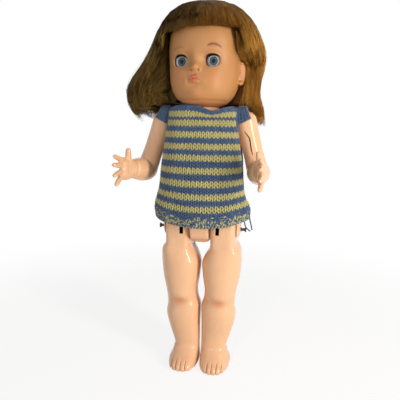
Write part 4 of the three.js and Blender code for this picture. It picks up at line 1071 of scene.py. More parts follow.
class DOLL_OT_body(Operator):
    """Moulds the hollow body with its hip cheeks, sockets and neck seat"""

    bl_idname = "doll.body"
    bl_label = "Body"

    def execute(self, context):
        turns, dark = round_turns(96), bpy.data.materials["doll_gap"]
        trunk = skin("body", level_rings(upright_rows(BODY_ROWS), turns))
        middle = skin("middle", level_rings(upright_rows(CROTCH_ROWS), turns))
        for side in (1, -1):
            cut(trunk, cheek_room(side))
        cut(trunk, middle, "UNION")
        cut(trunk, rod("z", NECK - 2, NECK + 2.6, 15.5), "UNION")
        inner = upright_rows(BODY_ROWS, WALL)
        inner = inner[(inner[:, 0] > HIP + 9) & (inner[:, 0] < NECK - 4)]
        lid = ring_rows(np.array([NECK - WALL]), *(np.array([20.0 - WALL]),) * 3, 2.0)
        cavity = skin("cavity", level_rings(np.concatenate([inner, lid]), turns))
        for side in (1, -1):
            cut(cavity, socket_room(side, WALL))
            cut(trunk, socket_room(side))
        cut(trunk, cavity)
        cut(trunk, skin("low", level_rings(upright_rows(CROTCH_ROWS[1:], WALL, 4), turns)))
        melted(trunk, 0.0019, 3)
        trunk.name = "body"
        coated(trunk, bpy.data.materials["doll_plastic"])
        for side in (1, -1):
            cut(trunk, rod("x", *span(side, 20.0, SHOULDER_SEAT), 8.5, (0.0, SHOULDER)))
            cut(trunk, rod("x", *span(side, SHOULDER_SEAT, 80.0), 19.0, (0.0, SHOULDER), 64))
            cut(trunk, lever_slot(LEVER_X * side, 2.4, -19.0, 19.0, HIP + 20, HIP + SOCKET_RADIUS + 12, dark))
            cut(trunk, rod("x", *span(side, 7.0, 66.0), PIN_RADIUS, (0.0, HIP), 32))
        cut(trunk, rod("z", NECK - 20, NECK + 5, 2.55, sides=24))
        mark(trunk, "seam", points_of(trunk)[:, 1])
        moulded(trunk, "torso", ("body_front", "body_back"))
        return {"FINISHED"}


# An arm, from its shoulder to its fingertips
ARM_TOP = np.array((62.5, 0.0, SHOULDER))
ARM_RADIUS, ELBOW_RADIUS, WRIST_RADIUS = 16.5, 16.8, 13.4
FOREARM, PALM, PALM_HALF, PALM_THICK, FINGER = 46.0, 28.0, 16.2, 7.0, 3.9
ELBOWS = {"left": (83.0, 6.0, 6.0), "right": (92.0, 6.0, 12.0)}
ELBOW_DROP, FOREARM_RISE = 75.0, math.radians(5.0)
SEAT, ARM_ROOM = 49.85, (-60.0, 60.0, 250.0, 450.0)  # where an arm's flat side lies, and the room it fills
FINGERS = ((11.6, 12.0, 26.0), (4.2, 1.0, 27.5), (-3.6, -16.0, 26.0), (-10.8, -35.0, 23.0))


def arm_ways(side):
    """The elbow and the ways that the forearm, the thumb's side and the palm face."""
    out, back, turn = ELBOWS[side]
    turn, rise = math.radians(turn), FOREARM_RISE
    level = np.array((math.sin(turn), -math.cos(turn), 0.0))
    ahead = level * math.cos(rise) + UPWARD * math.sin(rise)
    thumbward = UPWARD * math.cos(rise) - level * math.sin(rise)
    return np.array((out, back, SHOULDER - ELBOW_DROP)), ahead, thumbward, np.cross(ahead, thumbward)


def limb(name, rows, sideways, sides, shrink=0.0, steps=6):
    """A limb of rings square to its middle line. Each row is a place with two half widths."""
    rows = smooth_rows([[*at, wide, deep] for at, wide, deep in rows], steps)
    at, wide, deep = rows[:, :3], rows[:, 3:4] - shrink, rows[:, 4:5] - shrink
    along = units(np.gradient(at, axis=0))
    across = units(sideways - along * (along @ sideways)[:, None])
    through = np.cross(along, across)
    turns = round_turns(sides)[None, :, None]
    rings = at[:, None] + across[:, None] * np.maximum(wide, 0.4)[:, None] * np.cos(turns)
    return skin(name, rings + through[:, None] * np.maximum(deep, 0.4)[:, None] * np.sin(turns))


# Rows along the upper arm: shares of its length and of a radius, then the two half widths in that radius
UPPER_ARM = (
    (0, -0.98, 0.2, 0.2), (0, -0.82, 0.57, 0.57), (0, -0.5, 0.87, 0.87), (0, 0, 1, 1),
    (0.3, 0, 0.94, 0.97), (0.6, 0, 0.9, 0.95),
)
ARM_ELBOW = ((0.85, 0, 0.94, 0.98), (1, 0.1, 0.95, 1), (1, 0.6, 0.74, 0.78), (1, 0.95, 0.3, 0.3))
# Rows along the forearm and the palm in the same way, in the sizes of the elbow, the wrist and the palm
FOREARM_ELBOW = ((0, -0.98, 0.3, 0.3), (0, -0.7, 0.74, 0.74), (0, 0, 1, 1.02), (0.35, 0, 1.02, 1.08))
FOREARM_WRIST = ((0.7, 1.06, 1.2), (0.95, 0.8, 1.06))
PALM_ROWS = ((0.15, 1.28, 0.92), (0.5, 1.1, 1.04), (0.85, 0.86, 1), (1, 0.5, 0.82))


def upper_arm_rows(elbow):
    reach = np.linalg.norm(elbow - ARM_TOP)
    down = units(elbow - ARM_TOP)
    parts = ((UPPER_ARM, ARM_RADIUS), (ARM_ELBOW, ELBOW_RADIUS))
    return [(ARM_TOP + down * (reach * share + radius * past), radius * wide, radius * deep)
            for rows, radius in parts for share, past, wide, deep in rows]


def forearm_rows(elbow, ahead):
    rows = [(FOREARM * share + ELBOW_RADIUS * past, ELBOW_RADIUS * wide, ELBOW_RADIUS * deep)
            for share, past, wide, deep in FOREARM_ELBOW]
    rows += [(FOREARM * share, WRIST_RADIUS * wide, WRIST_RADIUS * deep)
             for share, wide, deep in FOREARM_WRIST]
    rows += [(FOREARM + PALM * share, PALM_THICK * wide, PALM_HALF * deep) for share, wide, deep in PALM_ROWS]
    return [(elbow + ahead * distance, wide, deep) for distance, wide, deep in rows]


def finger_lines(elbow, ahead, thumbward, palmward):
    """Where each finger starts, the way it points, its length and its radius."""
    knuckles = elbow + ahead * (FOREARM + PALM - 2)
    lines = []
    for rise, tilt, length in FINGERS:
        lean = math.radians(tilt)
        way = ahead * math.cos(lean) + thumbward * math.sin(lean)
        lines.append((knuckles + thumbward * rise, way, length, FINGER))
    root = elbow + ahead * (FOREARM + PALM * 0.42) + thumbward * PALM_HALF * 0.66 + palmward * 2
    lines.append((root, units(ahead * 0.36 + thumbward * 0.93), 20.0, FINGER * 1.2))
    return lines


# Along a finger: share of its length and of its radius
FINGER_ROWS = (
    (-0.35, 0.9), (0.0, 1.05), (0.3, 0.97), (0.45, 0.95), (0.62, 0.93), (0.8, 0.86), (0.95, 0.62),
    (1.0, 0.24),
)
FINGER_CURL = 3.2


def finger(start, way, length, radius, palmward):
    rows = []
    for share, size in FINGER_ROWS:
        bend = palmward * FINGER_CURL * max(0.0, share) ** 2
        rows.append((start + way * share * length + bend, radius * size, radius * size))
    return limb("finger", rows, palmward, 24, steps=4)


def arm_relief(ways):
    """Folds at the elbow and the wrist, joints of the fingers, nails and lines of the palm."""
    elbow, ahead, thumbward, palmward = ways

    def relief(points, normals):
        away = points - elbow
        along, height = away @ ahead, away @ thumbward
        palm_side, back_side = np.clip(normals @ palmward, 0, 1), np.clip(-normals @ palmward, 0, 1)
        palm_at = along - FOREARM - PALM * 0.5
        rise = -1.1 * near(along - FOREARM * 0.93, 1.5) * ramp(np.abs(height), 26.0, 18.0)
        rise -= 0.7 * near(away[:, 2] - 13.5 + along * 0.9, 1.5) * near(along - 14.0, 10.0)
        rise -= 1.3 * near(palm_at, 8.0) * near(height + 1.0, 6.0) * palm_side
        rise += 0.9 * near(palm_at + 6.0, 7.0) * near(height - 9.0, 5.0) * palm_side
        rise += 0.7 * near(palm_at + 5.0, 8.0) * near(height + 11.0, 4.5) * palm_side
        rise -= 0.5 * near(palm_at - 3.0 - height * 0.22, 0.9) * near(height, 11.0) * palm_side
        for start, way, length, radius in finger_lines(*ways):
            local = points - start
            reach = local @ way
            off = np.linalg.norm(local - reach[:, None] * way, axis=1)
            close = ramp(off, radius * 2.1, radius * 1.5) * ramp(reach, -2.0, 1.0)
            rise -= 0.38 * near(reach - length * 0.42, 0.9) * close
            rise -= 0.3 * near(reach - length * 0.7, 0.8) * close
            side = local @ np.cross(way, palmward)
            nail = near(side, radius * 0.62) * near(reach - length * 0.9, length * 0.085) * back_side
            rise += 0.34 * ramp(nail, 0.35, 0.6) * close
            rise -= 0.7 * near(reach - 1.5, 1.8) * near(side, 1.6) * back_side * close
        return rise

    return relief


CRACK = (
    (61.8, -16.2, 374.6), (65.6, -16.6, 370.0), (69.0, -16.4, 365.6), (70.4, -16.5, 361.0),
    (71.6, -16.6, 354.0), (73.4, -16.7, 346.0), (75.6, -16.8, 340.0),
)


def open_seam(arm, material):
    """The cutter for the crack where the two halves of an arm have come apart."""
    arm = arm.evaluated_get(bpy.context.evaluated_depsgraph_get())
    route = []
    for x, _, z in smooth_rows(CRACK, 4):
        hit, place, *_ = arm.ray_cast(placed((x, -60.0, z)), Vector((0, 1, 0)))
        if not hit:
            raise RuntimeError("the open seam misses the arm")
        route.append((np.array(place) - np.array(MIDDLE)) / MM)
    radii = 0.3 + 0.75 * np.sin(math.pi * np.linspace(0, 1, len(route))) ** 0.6
    return coated(tubes("groove", np.array([route]), radii[None], 6), material)


class DOLL_OT_arms(Operator):
    """Moulds the bent arms with their spread fingers"""

    bl_idname = "doll.arms"
    bl_label = "Arms"

    def execute(self, context):
        for side in ("left", "right"):
            ways = arm_ways(side)
            elbow, ahead, _, palmward = ways
            solids = [limb("arm_" + side, upper_arm_rows(elbow), OUTWARD, 64),
                      limb("forearm", forearm_rows(elbow, ahead), palmward, 64)]
            solids += [finger(*line, palmward) for line in finger_lines(*ways)]
            arm = melted(joined("arm_" + side, solids), 0.0009, 4)
            coated(relieved(arm, arm_relief(ways)), bpy.data.materials["doll_plastic"])
            hollow = limb("hollow", upper_arm_rows(elbow)[1:8], OUTWARD, 32, WALL + 0.4)
            cut(hollow, block(0.0, SEAT + WALL, *ARM_ROOM))
            cut(arm, hollow)
            cut(arm, block(0.0, SEAT, *ARM_ROOM))
            cut(arm, rod("x", 40.0, SEAT + WALL + 1, 1.55, (0.0, SHOULDER), 24))
            if side == "left":
                cut(arm, open_seam(arm, bpy.data.materials["doll_gap"]))
            mark(arm, "seam", (points_of(arm) - elbow) @ units(np.cross(elbow - ARM_TOP, ahead)))
            if side == "right":
                flipped = mirrored(arm, "arm_right_whole")
                bpy.data.objects.remove(arm)
                arm = flipped
            arm.name = f"arm_{side}"
            moulded(arm, f"{side}_arm", (f"arm_{side}_outer", f"arm_{side}_inner"))
        return {"FINISHED"}


PIN_PROFILE = (
    (7.0, 0.3), (7.0, 2.6), (60.6, 2.6), (60.7, 3.35), (61.2, 3.45), (61.5, 2.5), (62.6, 2.2),
    (64.6, 2.15), (66.0, 2.5), (66.9, 3.3), (67.5, 3.85), (68.2, 3.95), (68.5, 3.7), (68.3, 2.9),
    (67.6, 1.9), (67.5, 0.3),
)


class DOLL_OT_hip_pins(Operator):
    """Turns the spool-headed steel pins that the legs swing on"""

    bl_idname = "doll.hip_pins"
    bl_label = "Hip pins"

    def execute(self, context):
        steel = metal("pin_steel", linear(92, 88, 84), 0.34, 0.5)
        turns = round_turns(40)
        x, radius = np.array(PIN_PROFILE).T[..., None]
        for side, sign in SIDES:
            rings = np.stack([x * sign + 0 * turns, radius * np.cos(turns), HIP + radius * np.sin(turns)], -1)
            pin = coated(skin(f"pin_{side}", rings), steel)
            moulded(pin, "torso", (f"hip_pin_{side}",), 35)
        return {"FINISHED"}


HARDWARE = {
    "steel": ("arm_hook_left", "arm_hook_right", "neck_spring", "head_washer", "head_cotter", "neck_shaft",
              "neck_cotter", "neck_washer", "crossbar", "eye_pin_left", "eye_pin_right"),
    "dark_steel": ("leg_lever_left", "leg_lever_right"),
    "lead": ("eye_weight_left", "eye_weight_right"),
    "rubber_band": ("arm_elastic",),
    "plug_plastic": ("head_plug",),
    "cup_plastic": ("eye_cup_left", "eye_cup_right"),
}


class DOLL_OT_hardware(Operator):
    """Finishes the working parts inside the doll"""

    bl_idname = "doll.hardware"
    bl_label = "Working parts"

    def execute(self, context):
        finishes = {
            "steel": metal("steel", linear(150, 150, 152), 0.3, 0.1),
            "dark_steel": metal("dark_steel", linear(46, 42, 40), 0.4, 0.4),
            "lead": metal("lead", linear(92, 96, 102), 0.55, 0.0),
            "rubber_band": plain_moulding("rubber_band", linear(186, 156, 108), 0.75),
            "plug_plastic": plain_moulding("plug_plastic", linear(200, 144, 112), 0.45),
            "cup_plastic": plain_moulding("cup_plastic", linear(216, 210, 196), 0.5),
        }
        for slot, names in HARDWARE.items():
            for name in names:
                coated(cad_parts[name], finishes[slot])
        return {"FINISHED"}


# The head, in its own frame: height, half width, front, back
HEAD_ROWS = (
    (409.35, 22.0, 24.0, 23.0), (414.5, 32.96, 40.56, 31.9), (421.84, 40.69, 48.36, 39.44),
    (430.52, 45.58, 52.0, 45.82), (441.2, 48.93, 52.78, 51.62), (455.89, 50.73, 52.0, 55.68),
    (470.57, 51.5, 50.18, 58.0), (486.59, 52.02, 52.0, 58.58), (505.28, 50.47, 51.22, 56.84),
    (521.3, 45.58, 45.76, 51.62), (534.65, 36.05, 34.84, 41.18), (543.33, 22.66, 21.32, 26.68),
    (548.0, 6.18, 6.24, 6.96),
)
IRIS_RADIUS, HEAD_SQUARE = 6.3, 2.25


def head_rows(shrink=0.0):
    z, half, front, back = np.array(HEAD_ROWS).T
    half, front, back = (np.maximum(side - shrink, 1.0) for side in (half, front, back))
    return smooth_rows(ring_rows(z, half, front, back, HEAD_SQUARE), 6)


def broad_face(x, z):
    """How far the broad forms of the face stand forward."""
    wide = np.abs(x)
    return (6.6 * near(x, 6.0) * near(z - 460.5, 5.0) + 2.2 * near(x, 5.6) * near(z - 471.5, 12)
            + 3.2 * near(x, 9.5) * near(z - 444.0, 6.5) + 3.4 * near(x, 12) * near(z - 423.5, 7)
            + 2.0 * near(wide - 25, 13) * near(z - 443.5, 14)
            - 3.0 * near(wide - EYE_X, 10.5) * near(z - EYE_Z, 9.5)
            - 4.2 * near(wide - 13.8, 6.2) * near(z - EYE_Z, 9.0))


def pushed_forward(piece, hollows_only=False):
    """Presses the broad forms of the face into a skin."""
    points = points_of(piece)
    x, y, z = points.T
    forms = np.minimum(broad_face(x, z), 0.0 if hollows_only else np.inf)
    points[:, 1] -= np.where(y < 0, forms * np.minimum(1.0, -y / 20), 0.0)
    set_points(piece, points)
    return piece


def face_relief(points, normals):
    """The fine forms of the face: nose wings, nostrils, lips, lids and chin."""
    x, y, z = points.T
    wide = np.abs(x)
    ahead = np.clip(-normals[:, 1], 0, 1) * ramp(-y, 15.0, 30.0)
    rise = 1.9 * near(wide - 6.9, 2.2) * near(z - NOSTRIL_Z - 1.6, 2.4)
    rise -= 2.2 * near(wide - 4.9, 1.35) * near(z - NOSTRIL_Z, 1.1)
    rise -= 0.9 * near(wide - 9.6, 1.3) * near(z - NOSTRIL_Z - 1.8, 2.8)
    rise -= 0.8 * near(x, 1.4) * near(z - MOUTH - 7.0, 2.6)
    bow = MOUTH + 3.2 + 1.0 * near(wide - 2.8, 2.2) - 0.045 * x ** 2
    rise += 1.9 * near(wide, 7.2) * near(z - bow + 1.4, 1.9)
    rise += 2.1 * near(wide, 5.2) * near(z - MOUTH + 3.2, 2.1)
    line = MOUTH - 0.2 - (wide / 8.6) ** 2 * 2.9
    rise -= 1.5 * near(z - line, 0.8) * near(wide, 7.5)
    rise -= 0.6 * near(wide - 10.0, 2.2) * near(z - MOUTH + 3.0, 2.4)
    rise -= 1.6 * near(x, 7.5) * near(z - MOUTH + 8.4, 2.6)
    rise += 0.8 * near(wide - 13.0, 3.5) * near(z - MOUTH + 3.4, 5.0)
    oval = np.abs((wide - EYE_X) / EYE_HALF) ** EYE_SQUARE + np.abs((z - EYE_Z) / EYE_HALF_TALL) ** EYE_SQUARE
    oval = oval ** (1 / EYE_SQUARE)
    lid = ramp(z, EYE_Z - 6.0, EYE_Z + 4.0)
    rise += (0.5 + 0.5 * lid) * near(oval - 1.1, 0.1)
    rise -= 0.5 * lid * near(oval - 1.38, 0.09)
    rise += 0.6 * near(wide - 25.0, 9.0) * near(z - 485.0, 4.0)
    rise *= ahead
    throat = near(z - 416.0, 1.6) * ramp(-y, 5.0, 20.0)
    return rise - 0.9 * throat


EAR_RIM = (
    (1.0, -11.5, 2.9), (3.6, -14.0, 3.2), (7.0, -12.2, 2.8), (9.6, -7.0, 2.2), (11.0, 0.0, 2.1),
    (10.8, 7.0, 2.1), (8.6, 12.4, 2.1), (4.6, 14.8, 2.1), (0.8, 13.2, 2.1), (-0.8, 8.6, 2.0),
    (0.2, 4.0, 1.8), (3.2, 1.6, 1.2),
)
EAR_FOLD = ((5.2, 11.0, 1.2), (7.4, 6.5, 1.3), (7.6, 0.5, 1.3), (6.0, -5.0, 1.4), (3.4, -7.6, 1.5))


def ear_solids():
    """An ear's rim, its inner fold and the thin bowl behind them."""
    root = np.array((50.6, -2.0, 457.0))
    back = np.array((0.56, 0.828, 0.0))
    outward = np.array((0.828, -0.56, 0.0))
    solids = []
    for name, rows, lift in (("rim", EAR_RIM, 0.6), ("fold", EAR_FOLD, 0.2)):
        rows = smooth_rows(rows, 5)
        path = root + rows[:, :1] * back + UPWARD * rows[:, 1:2] + outward * lift
        solids.append(tubes(name, path[None], rows[None, :, 2], 14))
    bowl = ball((0.0, 0.0, 0.0), (1.5, 6.4, 14.0))
    across, along, up = points_of(bowl).T[..., None]
    set_points(bowl, root + back * (along + 5.2) + outward * (across - 1.4) + UPWARD * up)
    return solids + [bowl]


def eye_opening(x, y0, y1):
    """A rounded-oblong bar along Y, as wide and tall as an eye opening."""
    turns = round_turns(64)
    across = squared(np.cos(turns), EYE_SQUARE) * EYE_HALF + x
    up = squared(np.sin(turns), EYE_SQUARE) * EYE_HALF_TALL + EYE_Z
    return skin("opening", np.stack([np.stack([across, np.full(64, y), up], -1) for y in (y0, y1)]))


def head_turned(points):
    x, y, z = np.moveaxis(points, -1, 0)
    c, s = math.cos(HEAD_TURN), math.sin(HEAD_TURN)
    return np.stack([x * c - y * s, x * s + y * c, z], -1)


def turned_with_head(piece):
    set_points(piece, head_turned(points_of(piece)))
    return piece


class DOLL_OT_head(Operator):
    """Moulds the soft hollow head with its face, ears and eye openings"""

    bl_idname = "doll.head"
    bl_label = "Head"

    def execute(self, context):
        vinyl = soft_vinyl(context.scene.doll_colours)
        head = pushed_forward(skin("head", level_rings(head_rows(), round_turns(160))))
        left = joined("ear", ear_solids())
        applied(left, "REMESH", mode="VOXEL", voxel_size=0.0007)
        head = melted(joined("head", [head, left, mirrored(left, "ear_right")]), 0.00113, 3)
        relieved(head, face_relief)
        applied(head, "SMOOTH", factor=0.4, iterations=1)
        coated(head, vinyl)
        rows = head_rows(WALL + 0.3)
        rows = rows[(rows[:, 0] > NECK + 4) & (rows[:, 0] < CHIN + HEAD_TALL - 4)]
        cut(head, pushed_forward(skin("inside", level_rings(rows, round_turns(96))), hollows_only=True))
        cut(head, rod("z", NECK - 5, NECK + 10, 16.9, sides=64))
        for x in (EYE_X, -EYE_X):
            cut(head, rod("y", -41.8, EYE_Y - 5.4, 11.6, (x, EYE_Z), 64), "UNION")
            cut(head, ball((x, EYE_Y, EYE_Z), (EYE_R + EYE_GAP,) * 3, 64))
            cut(head, block(x - 15, x + 15, EYE_Y - 5.3, EYE_Y + 20, EYE_Z - 15, EYE_Z + 15))
            cut(head, eye_opening(x, -70.0, EYE_Y))
        turned_with_head(head).name = "head"
        moulded(head, "head", ("head_shell",), 42)
        return {"FINISHED"}


class DOLL_OT_eyes(Operator):
    """Sets the round sleeping eyes with their domed irises and lashes"""

    bl_idname = "doll.eyes"
    bl_label = "Eyes"

    def execute(self, context):
        colours = context.scene.doll_colours
        drawn = eye_finish(colours)
        clear = clear_dome()
        lash = plain_moulding("lashes", linear(26, 18, 14), 0.6)
        seat = EYE_Y - math.sqrt(EYE_R ** 2 - IRIS_RADIUS ** 2) + 1.0
        for side, sign in SIDES:
            x = EYE_X * sign
            eyeball = ball((x, EYE_Y, EYE_Z), (EYE_R,) * 3, 96)
            cut(eyeball, rod("y", seat - 6, seat, IRIS_RADIUS + 0.1, (x, EYE_Z), 64))
            points = points_of(eyeball)
            behind = np.where(points[:, 1] > EYE_Y, 50.0, 0.0)
            mark(eyeball, "across", points[:, 0] - x + behind)
            mark(eyeball, "up", points[:, 2] - EYE_Z)
            dome = ball((x, seat, EYE_Z), (IRIS_RADIUS, 2.6, IRIS_RADIUS), 64)
            cut(dome, block(x - 9, x + 9, seat + 0.02, seat + 9, EYE_Z - 9, EYE_Z + 9))
            pieces = ((eyeball, "eye_white", "eyeball", drawn), (dome, "iris", "iris", clear),
                      (lash_row(x), "lashes", "lashes", lash))
            for piece, slot, kind, material in pieces:
                piece.name = f"{kind}_{side}_piece"
                moulded(turned_with_head(coated(piece, material)), f"{side}_eye", (f"{kind}_{side}",))
        return {"FINISHED"}


def lash_row(middle):
    """A fringe of short curved bristles over the iris."""
    rng = np.random.default_rng(11)
    count, steps = 46, 7
    spread = np.linspace(-0.5, 0.5, count) + rng.normal(0, 0.006, count)
    tilt = math.radians(33.0) + rng.normal(0, 0.015, count) - spread ** 2 * 0.45
    share = np.linspace(0, 1, steps)[None]
    reach = EYE_R - 0.3 + share * 2.0
    lift = tilt[:, None] + share ** 2 * 0.1
    turn = spread[:, None] * (1.0 + share * 0.08)
    x = middle + reach * np.sin(turn)
    y = EYE_Y - reach * np.cos(turn) * np.cos(lift)
    z = EYE_Z + reach * np.cos(turn) * np.sin(lift)
    radii = np.broadcast_to(0.24 - share * 0.12, x.shape)
    return tubes("lashes", np.stack([x, y, z], -1), radii, 4)


# The hair, as the space it fills in the head's own frame: height, reach to -X, reach to +X, front, back
HAIR_ROWS = (
    (380.0, 98.0, 86.0, 24.0, 60.0), (392.0, 108.0, 85.0, 26.0, 64.0), (402.0, 117.0, 82.5, 28.0, 67.0),
    (412.0, 123.0, 80.0, 32.0, 70.0), (437.0, 125.0, 79.0, 36.0, 74.0), (457.0, 112.0, 84.0, 42.0, 75.0),
    (472.0, 97.0, 87.5, 50.0, 75.0), (484.0, 87.0, 87.5, 56.0, 74.0), (498.0, 78.0, 84.0, 59.0, 72.0),
    (512.0, 73.0, 78.5, 59.5, 69.0), (526.0, 65.0, 70.5, 56.5, 64.0), (539.0, 54.0, 58.5, 48.5, 54.0),
    (549.0, 41.0, 45.0, 36.0, 40.0), (554.0, 28.5, 30.5, 23.0, 26.0), (556.5, 12.0, 14.0, 10.0, 11.0),
    (557.0, 1.0, 1.0, 1.0, 1.0),
)
FRINGE_EDGE = ((-62.0, 506.0), (-48.6, 508.5), (-20.0, 511.0), (8.5, 513.0), (44.0, 514.8), (62.0, 514.0))
HAIR_SQUARE, HAIR_TOP = 2.1, 557.0
HAIR_MIDDLE = 470.0  # the height that frayed ends spread away from
# What the hair keeps clear of: the face, the left ear, the shoulders and the right arm as it swings
FACE_HALF, FACE_TOP, FACE_BACK = 51.5, 514.0, -8.0
EAR_X, EAR_FOOT, EAR_TOP, EAR_BACK = 40.0, 412.0, 482.0, 12.0
SHOULDERS_TOP, SHOULDERS_BACK, SHOULDERS_END, CAP_SIDE = 412.5, 38.5, -74.0, -83.0
ARM_CLEAR = 393.0


def hair_reach(z, turn):
    """Where the hair's outside lies at a height, in a direction round the head."""
    rows = np.array(HAIR_ROWS)
    inner, outer, front, back = (np.interp(z, rows[:, 0], rows[:, k]) for k in range(1, 5))
    across, along = squared(np.cos(turn), HAIR_SQUARE), squared(np.sin(turn), HAIR_SQUARE)
    x, y = across * np.where(across > 0, outer, inner), along * np.where(along > 0, back, front)
    return np.stack([x, y], -1)


def in_hair(z, turn, share=1.0):
    """Places at given heights and directions, at a share of the way out to the hair's outside."""
    return np.concatenate([hair_reach(z, turn) * share, z[..., None]], -1)


def out_of_head(points, margin):
    """Pushes points that lie inside the head, or closer to it than a margin, out to the sides."""
    rows = np.array(HEAD_ROWS)
    x, y, z = np.moveaxis(points, -1, 0)
    half, front, back = (np.interp(z, rows[:, 0], rows[:, k]) + margin for k in range(1, 4))
    deep = np.where(y < 0, front, back)
    size = (np.abs(x / half) ** HEAD_SQUARE + np.abs(y / deep) ** HEAD_SQUARE) ** (1 / HEAD_SQUARE)
    inside = (size < 1.0) & (z > CHIN + 3.5)
    points[..., :2] *= np.where(inside, 1.0 / np.maximum(size, 0.2), 1.0)[..., None]
    return points


def lock_paths(turns, end, depth, steps, start):
    """Smooth lines from near the crown down the outside of the hair to a height of their own."""
    levels = np.concatenate([HAIR_TOP - 3.6 * np.linspace(0, 1, 12) ** 2, np.linspace(551.0, 378.0, 88)])
    places = in_hair(np.broadcast_to(levels, (len(turns), len(levels))), turns[:, None])
    length = lengths_along(places)
    paths = np.empty((len(turns), steps, 3))
    share = np.linspace(0, 1, steps)
    for i, (low, high) in enumerate(zip(end, start)):
        last = np.interp(-low, -levels, length[i])
        paths[i] = spaced(places[i], length[i], last * (high + (1 - high) * share))
    flat = np.linalg.norm(paths[..., :2], axis=2, keepdims=True)
    root = 1.0 - ramp(share, 0.0, 0.14)[None, :, None]
    inward = depth[:, None, None] + root * 3.0 * (start[:, None, None] > 0.02)
    paths[..., :2] *= np.maximum(flat - inward, 0.3) / np.maximum(flat, 0.3)
    return paths


def shaggy_ends(rng, turns):
    """The height at which each lock ends: low behind and outside the arms, and on the shoulders between."""
    ring = hair_reach(np.full(len(turns), 405.0), turns)
    free = (ring[:, 1] > 40.0) | (np.abs(ring[:, 0]) > 72.0)
    return np.where(free, 383.0 + 30.0 * rng.random(len(turns)) ** 1.4, 414.0 + rng.uniform(0, 9, len(turns)))


def long_locks(rng, count, low, high, steps=13):
    """Middle lines of locks that fall from the crown between two directions, in degrees."""
    turns = np.radians(rng.uniform(low, high, count))
    depth = 10.0 * rng.random(count) ** 1.4 - 0.8
    start = np.where(rng.random(count) < 0.4, 0.0, rng.uniform(0.05, 0.4, count))
    return lock_paths(turns, shaggy_ends(rng, turns), depth, steps, start)


def fringe_locks(rng, count, low, high, steps=10):
    """Middle lines of the locks of the straight-cut fringe."""
    turns = np.radians(rng.uniform(low, high, count))
    depth = 5.0 * rng.random(count) ** 1.7 - 0.2
    start = np.where(rng.random(count) < 0.85, 0.0, rng.uniform(0.05, 0.3, count))
    side = hair_reach(np.full(count, 512.0), turns)[:, 0]
    edge = np.array(FRINGE_EDGE)
    end = np.interp(side, edge[:, 0], edge[:, 1]) + rng.normal(0, 0.8, count) - 0.6
    return lock_paths(turns, end, depth, steps, start)


def temple_locks(rng, count, side, roots, ends, bulge, steps=13):
    """Middle lines of the locks rooted along the edge of the face, combed out and down."""
    (top, foot), (first, last) = roots, ends
    place = rng.random(count)
    forward = -33.0 + (22.0 if side > 0 else 6.0) * place + 16.0 * rng.random(count)
    root = np.stack([np.full(count, side * (FACE_HALF - 0.2)), forward, top + (foot - top) * place], -1)
    turns = np.radians(first + (last - first) * np.clip(place + rng.normal(0, 0.16, count), 0, 1))
    end_z = shaggy_ends(rng, turns)
    full = 0.99 - 0.42 * rng.random((count, 1)) ** 1.2
    end = in_hair(end_z, turns, full)
    height, around = root[:, 2] * 0.42 + end_z * 0.58, turns * 0.6 + math.radians(bulge) * 0.4
    middle = in_hair(height, around, full * 0.5 + 0.47)
    bend = 2 * middle - (root + end) / 2
    t = np.linspace(0, 1, steps)[None, :, None] ** 0.9
    return root[:, None] * (1 - t) ** 2 + bend[:, None] * 2 * t * (1 - t) + end[:, None] * t ** 2


def frayed(rng, centre, each, spread, calm=1.0):
    """Splits each lock into fine tufts that spread, wave and fray towards their ends."""
    locks, steps = centre.shape[:2]
    share = np.linspace(0, 1, steps)
    paths = np.repeat(centre, each, 0)
    total = len(paths)
    gather = np.sin(math.pi * np.clip(share * 0.9 + 0.12, 0, 1)) ** 0.7 + 0.35 * (1 - calm)
    wide = rng.normal(0, spread, (total, 1)) * gather
    high = rng.normal(0, spread * 0.45, (total, 1)) * gather
    outward = units((paths - (0.0, 0.0, HAIR_MIDDLE)) * (1.0, 1.0, 0.6), TINY)
    across = units(np.cross(units(np.gradient(paths, axis=1), TINY), outward), TINY)
    phase = np.repeat(rng.uniform(0, 2 * math.pi, locks), each)[:, None] + rng.normal(0, 0.3, (total, 1))
    swing = np.repeat(rng.uniform(0.4, 2.3, locks), each)[:, None] * 2.7 * share ** 1.2 * calm
    wave = np.sin(phase + share * 2 * math.pi * 1.7) * swing
    lift = np.cos(phase * 1.3 + share * 2 * math.pi * 1.4) * swing * 0.7
    frizz = np.cumsum(rng.normal(0, 0.85, (total, steps)), 1) * share * calm
    paths = paths + across * (wide + wave + frizz)[..., None]
    paths = paths + outward * (lift - np.abs(high))[..., None]
    lengths = 1.0 - rng.random(total) ** 2.2 * 0.22 * calm
    tone = np.clip(np.repeat(rng.normal(0.5, 0.17, locks), each) + rng.normal(0, 0.16, total), 0, 1)
    return shortened(paths, lengths), tone


def shortened(paths, lengths):
    """Each line cut to a share of its own length."""
    steps = paths.shape[1]
    at = np.linspace(0, 1, steps)[None] * lengths[:, None] * (steps - 1)
    low = np.clip(at.astype(int), 0, steps - 2)
    part = (at - low)[..., None]
    index = np.arange(len(paths))[:, None]
    return paths[index, low] * (1 - part) + paths[index, low + 1] * part


def clear_of_face(paths):
    """Keeps hair out of the face, a share of it on either side."""
    x, y, z = np.moveaxis(paths, -1, 0)
    face = (y < FACE_BACK) & (z < FACE_TOP) & (np.abs(x) < FACE_HALF)
    paths[..., 0] = np.where(face, np.sign(x) * (FACE_HALF + (FACE_HALF - np.abs(x)) * 0.05), x)
    return paths


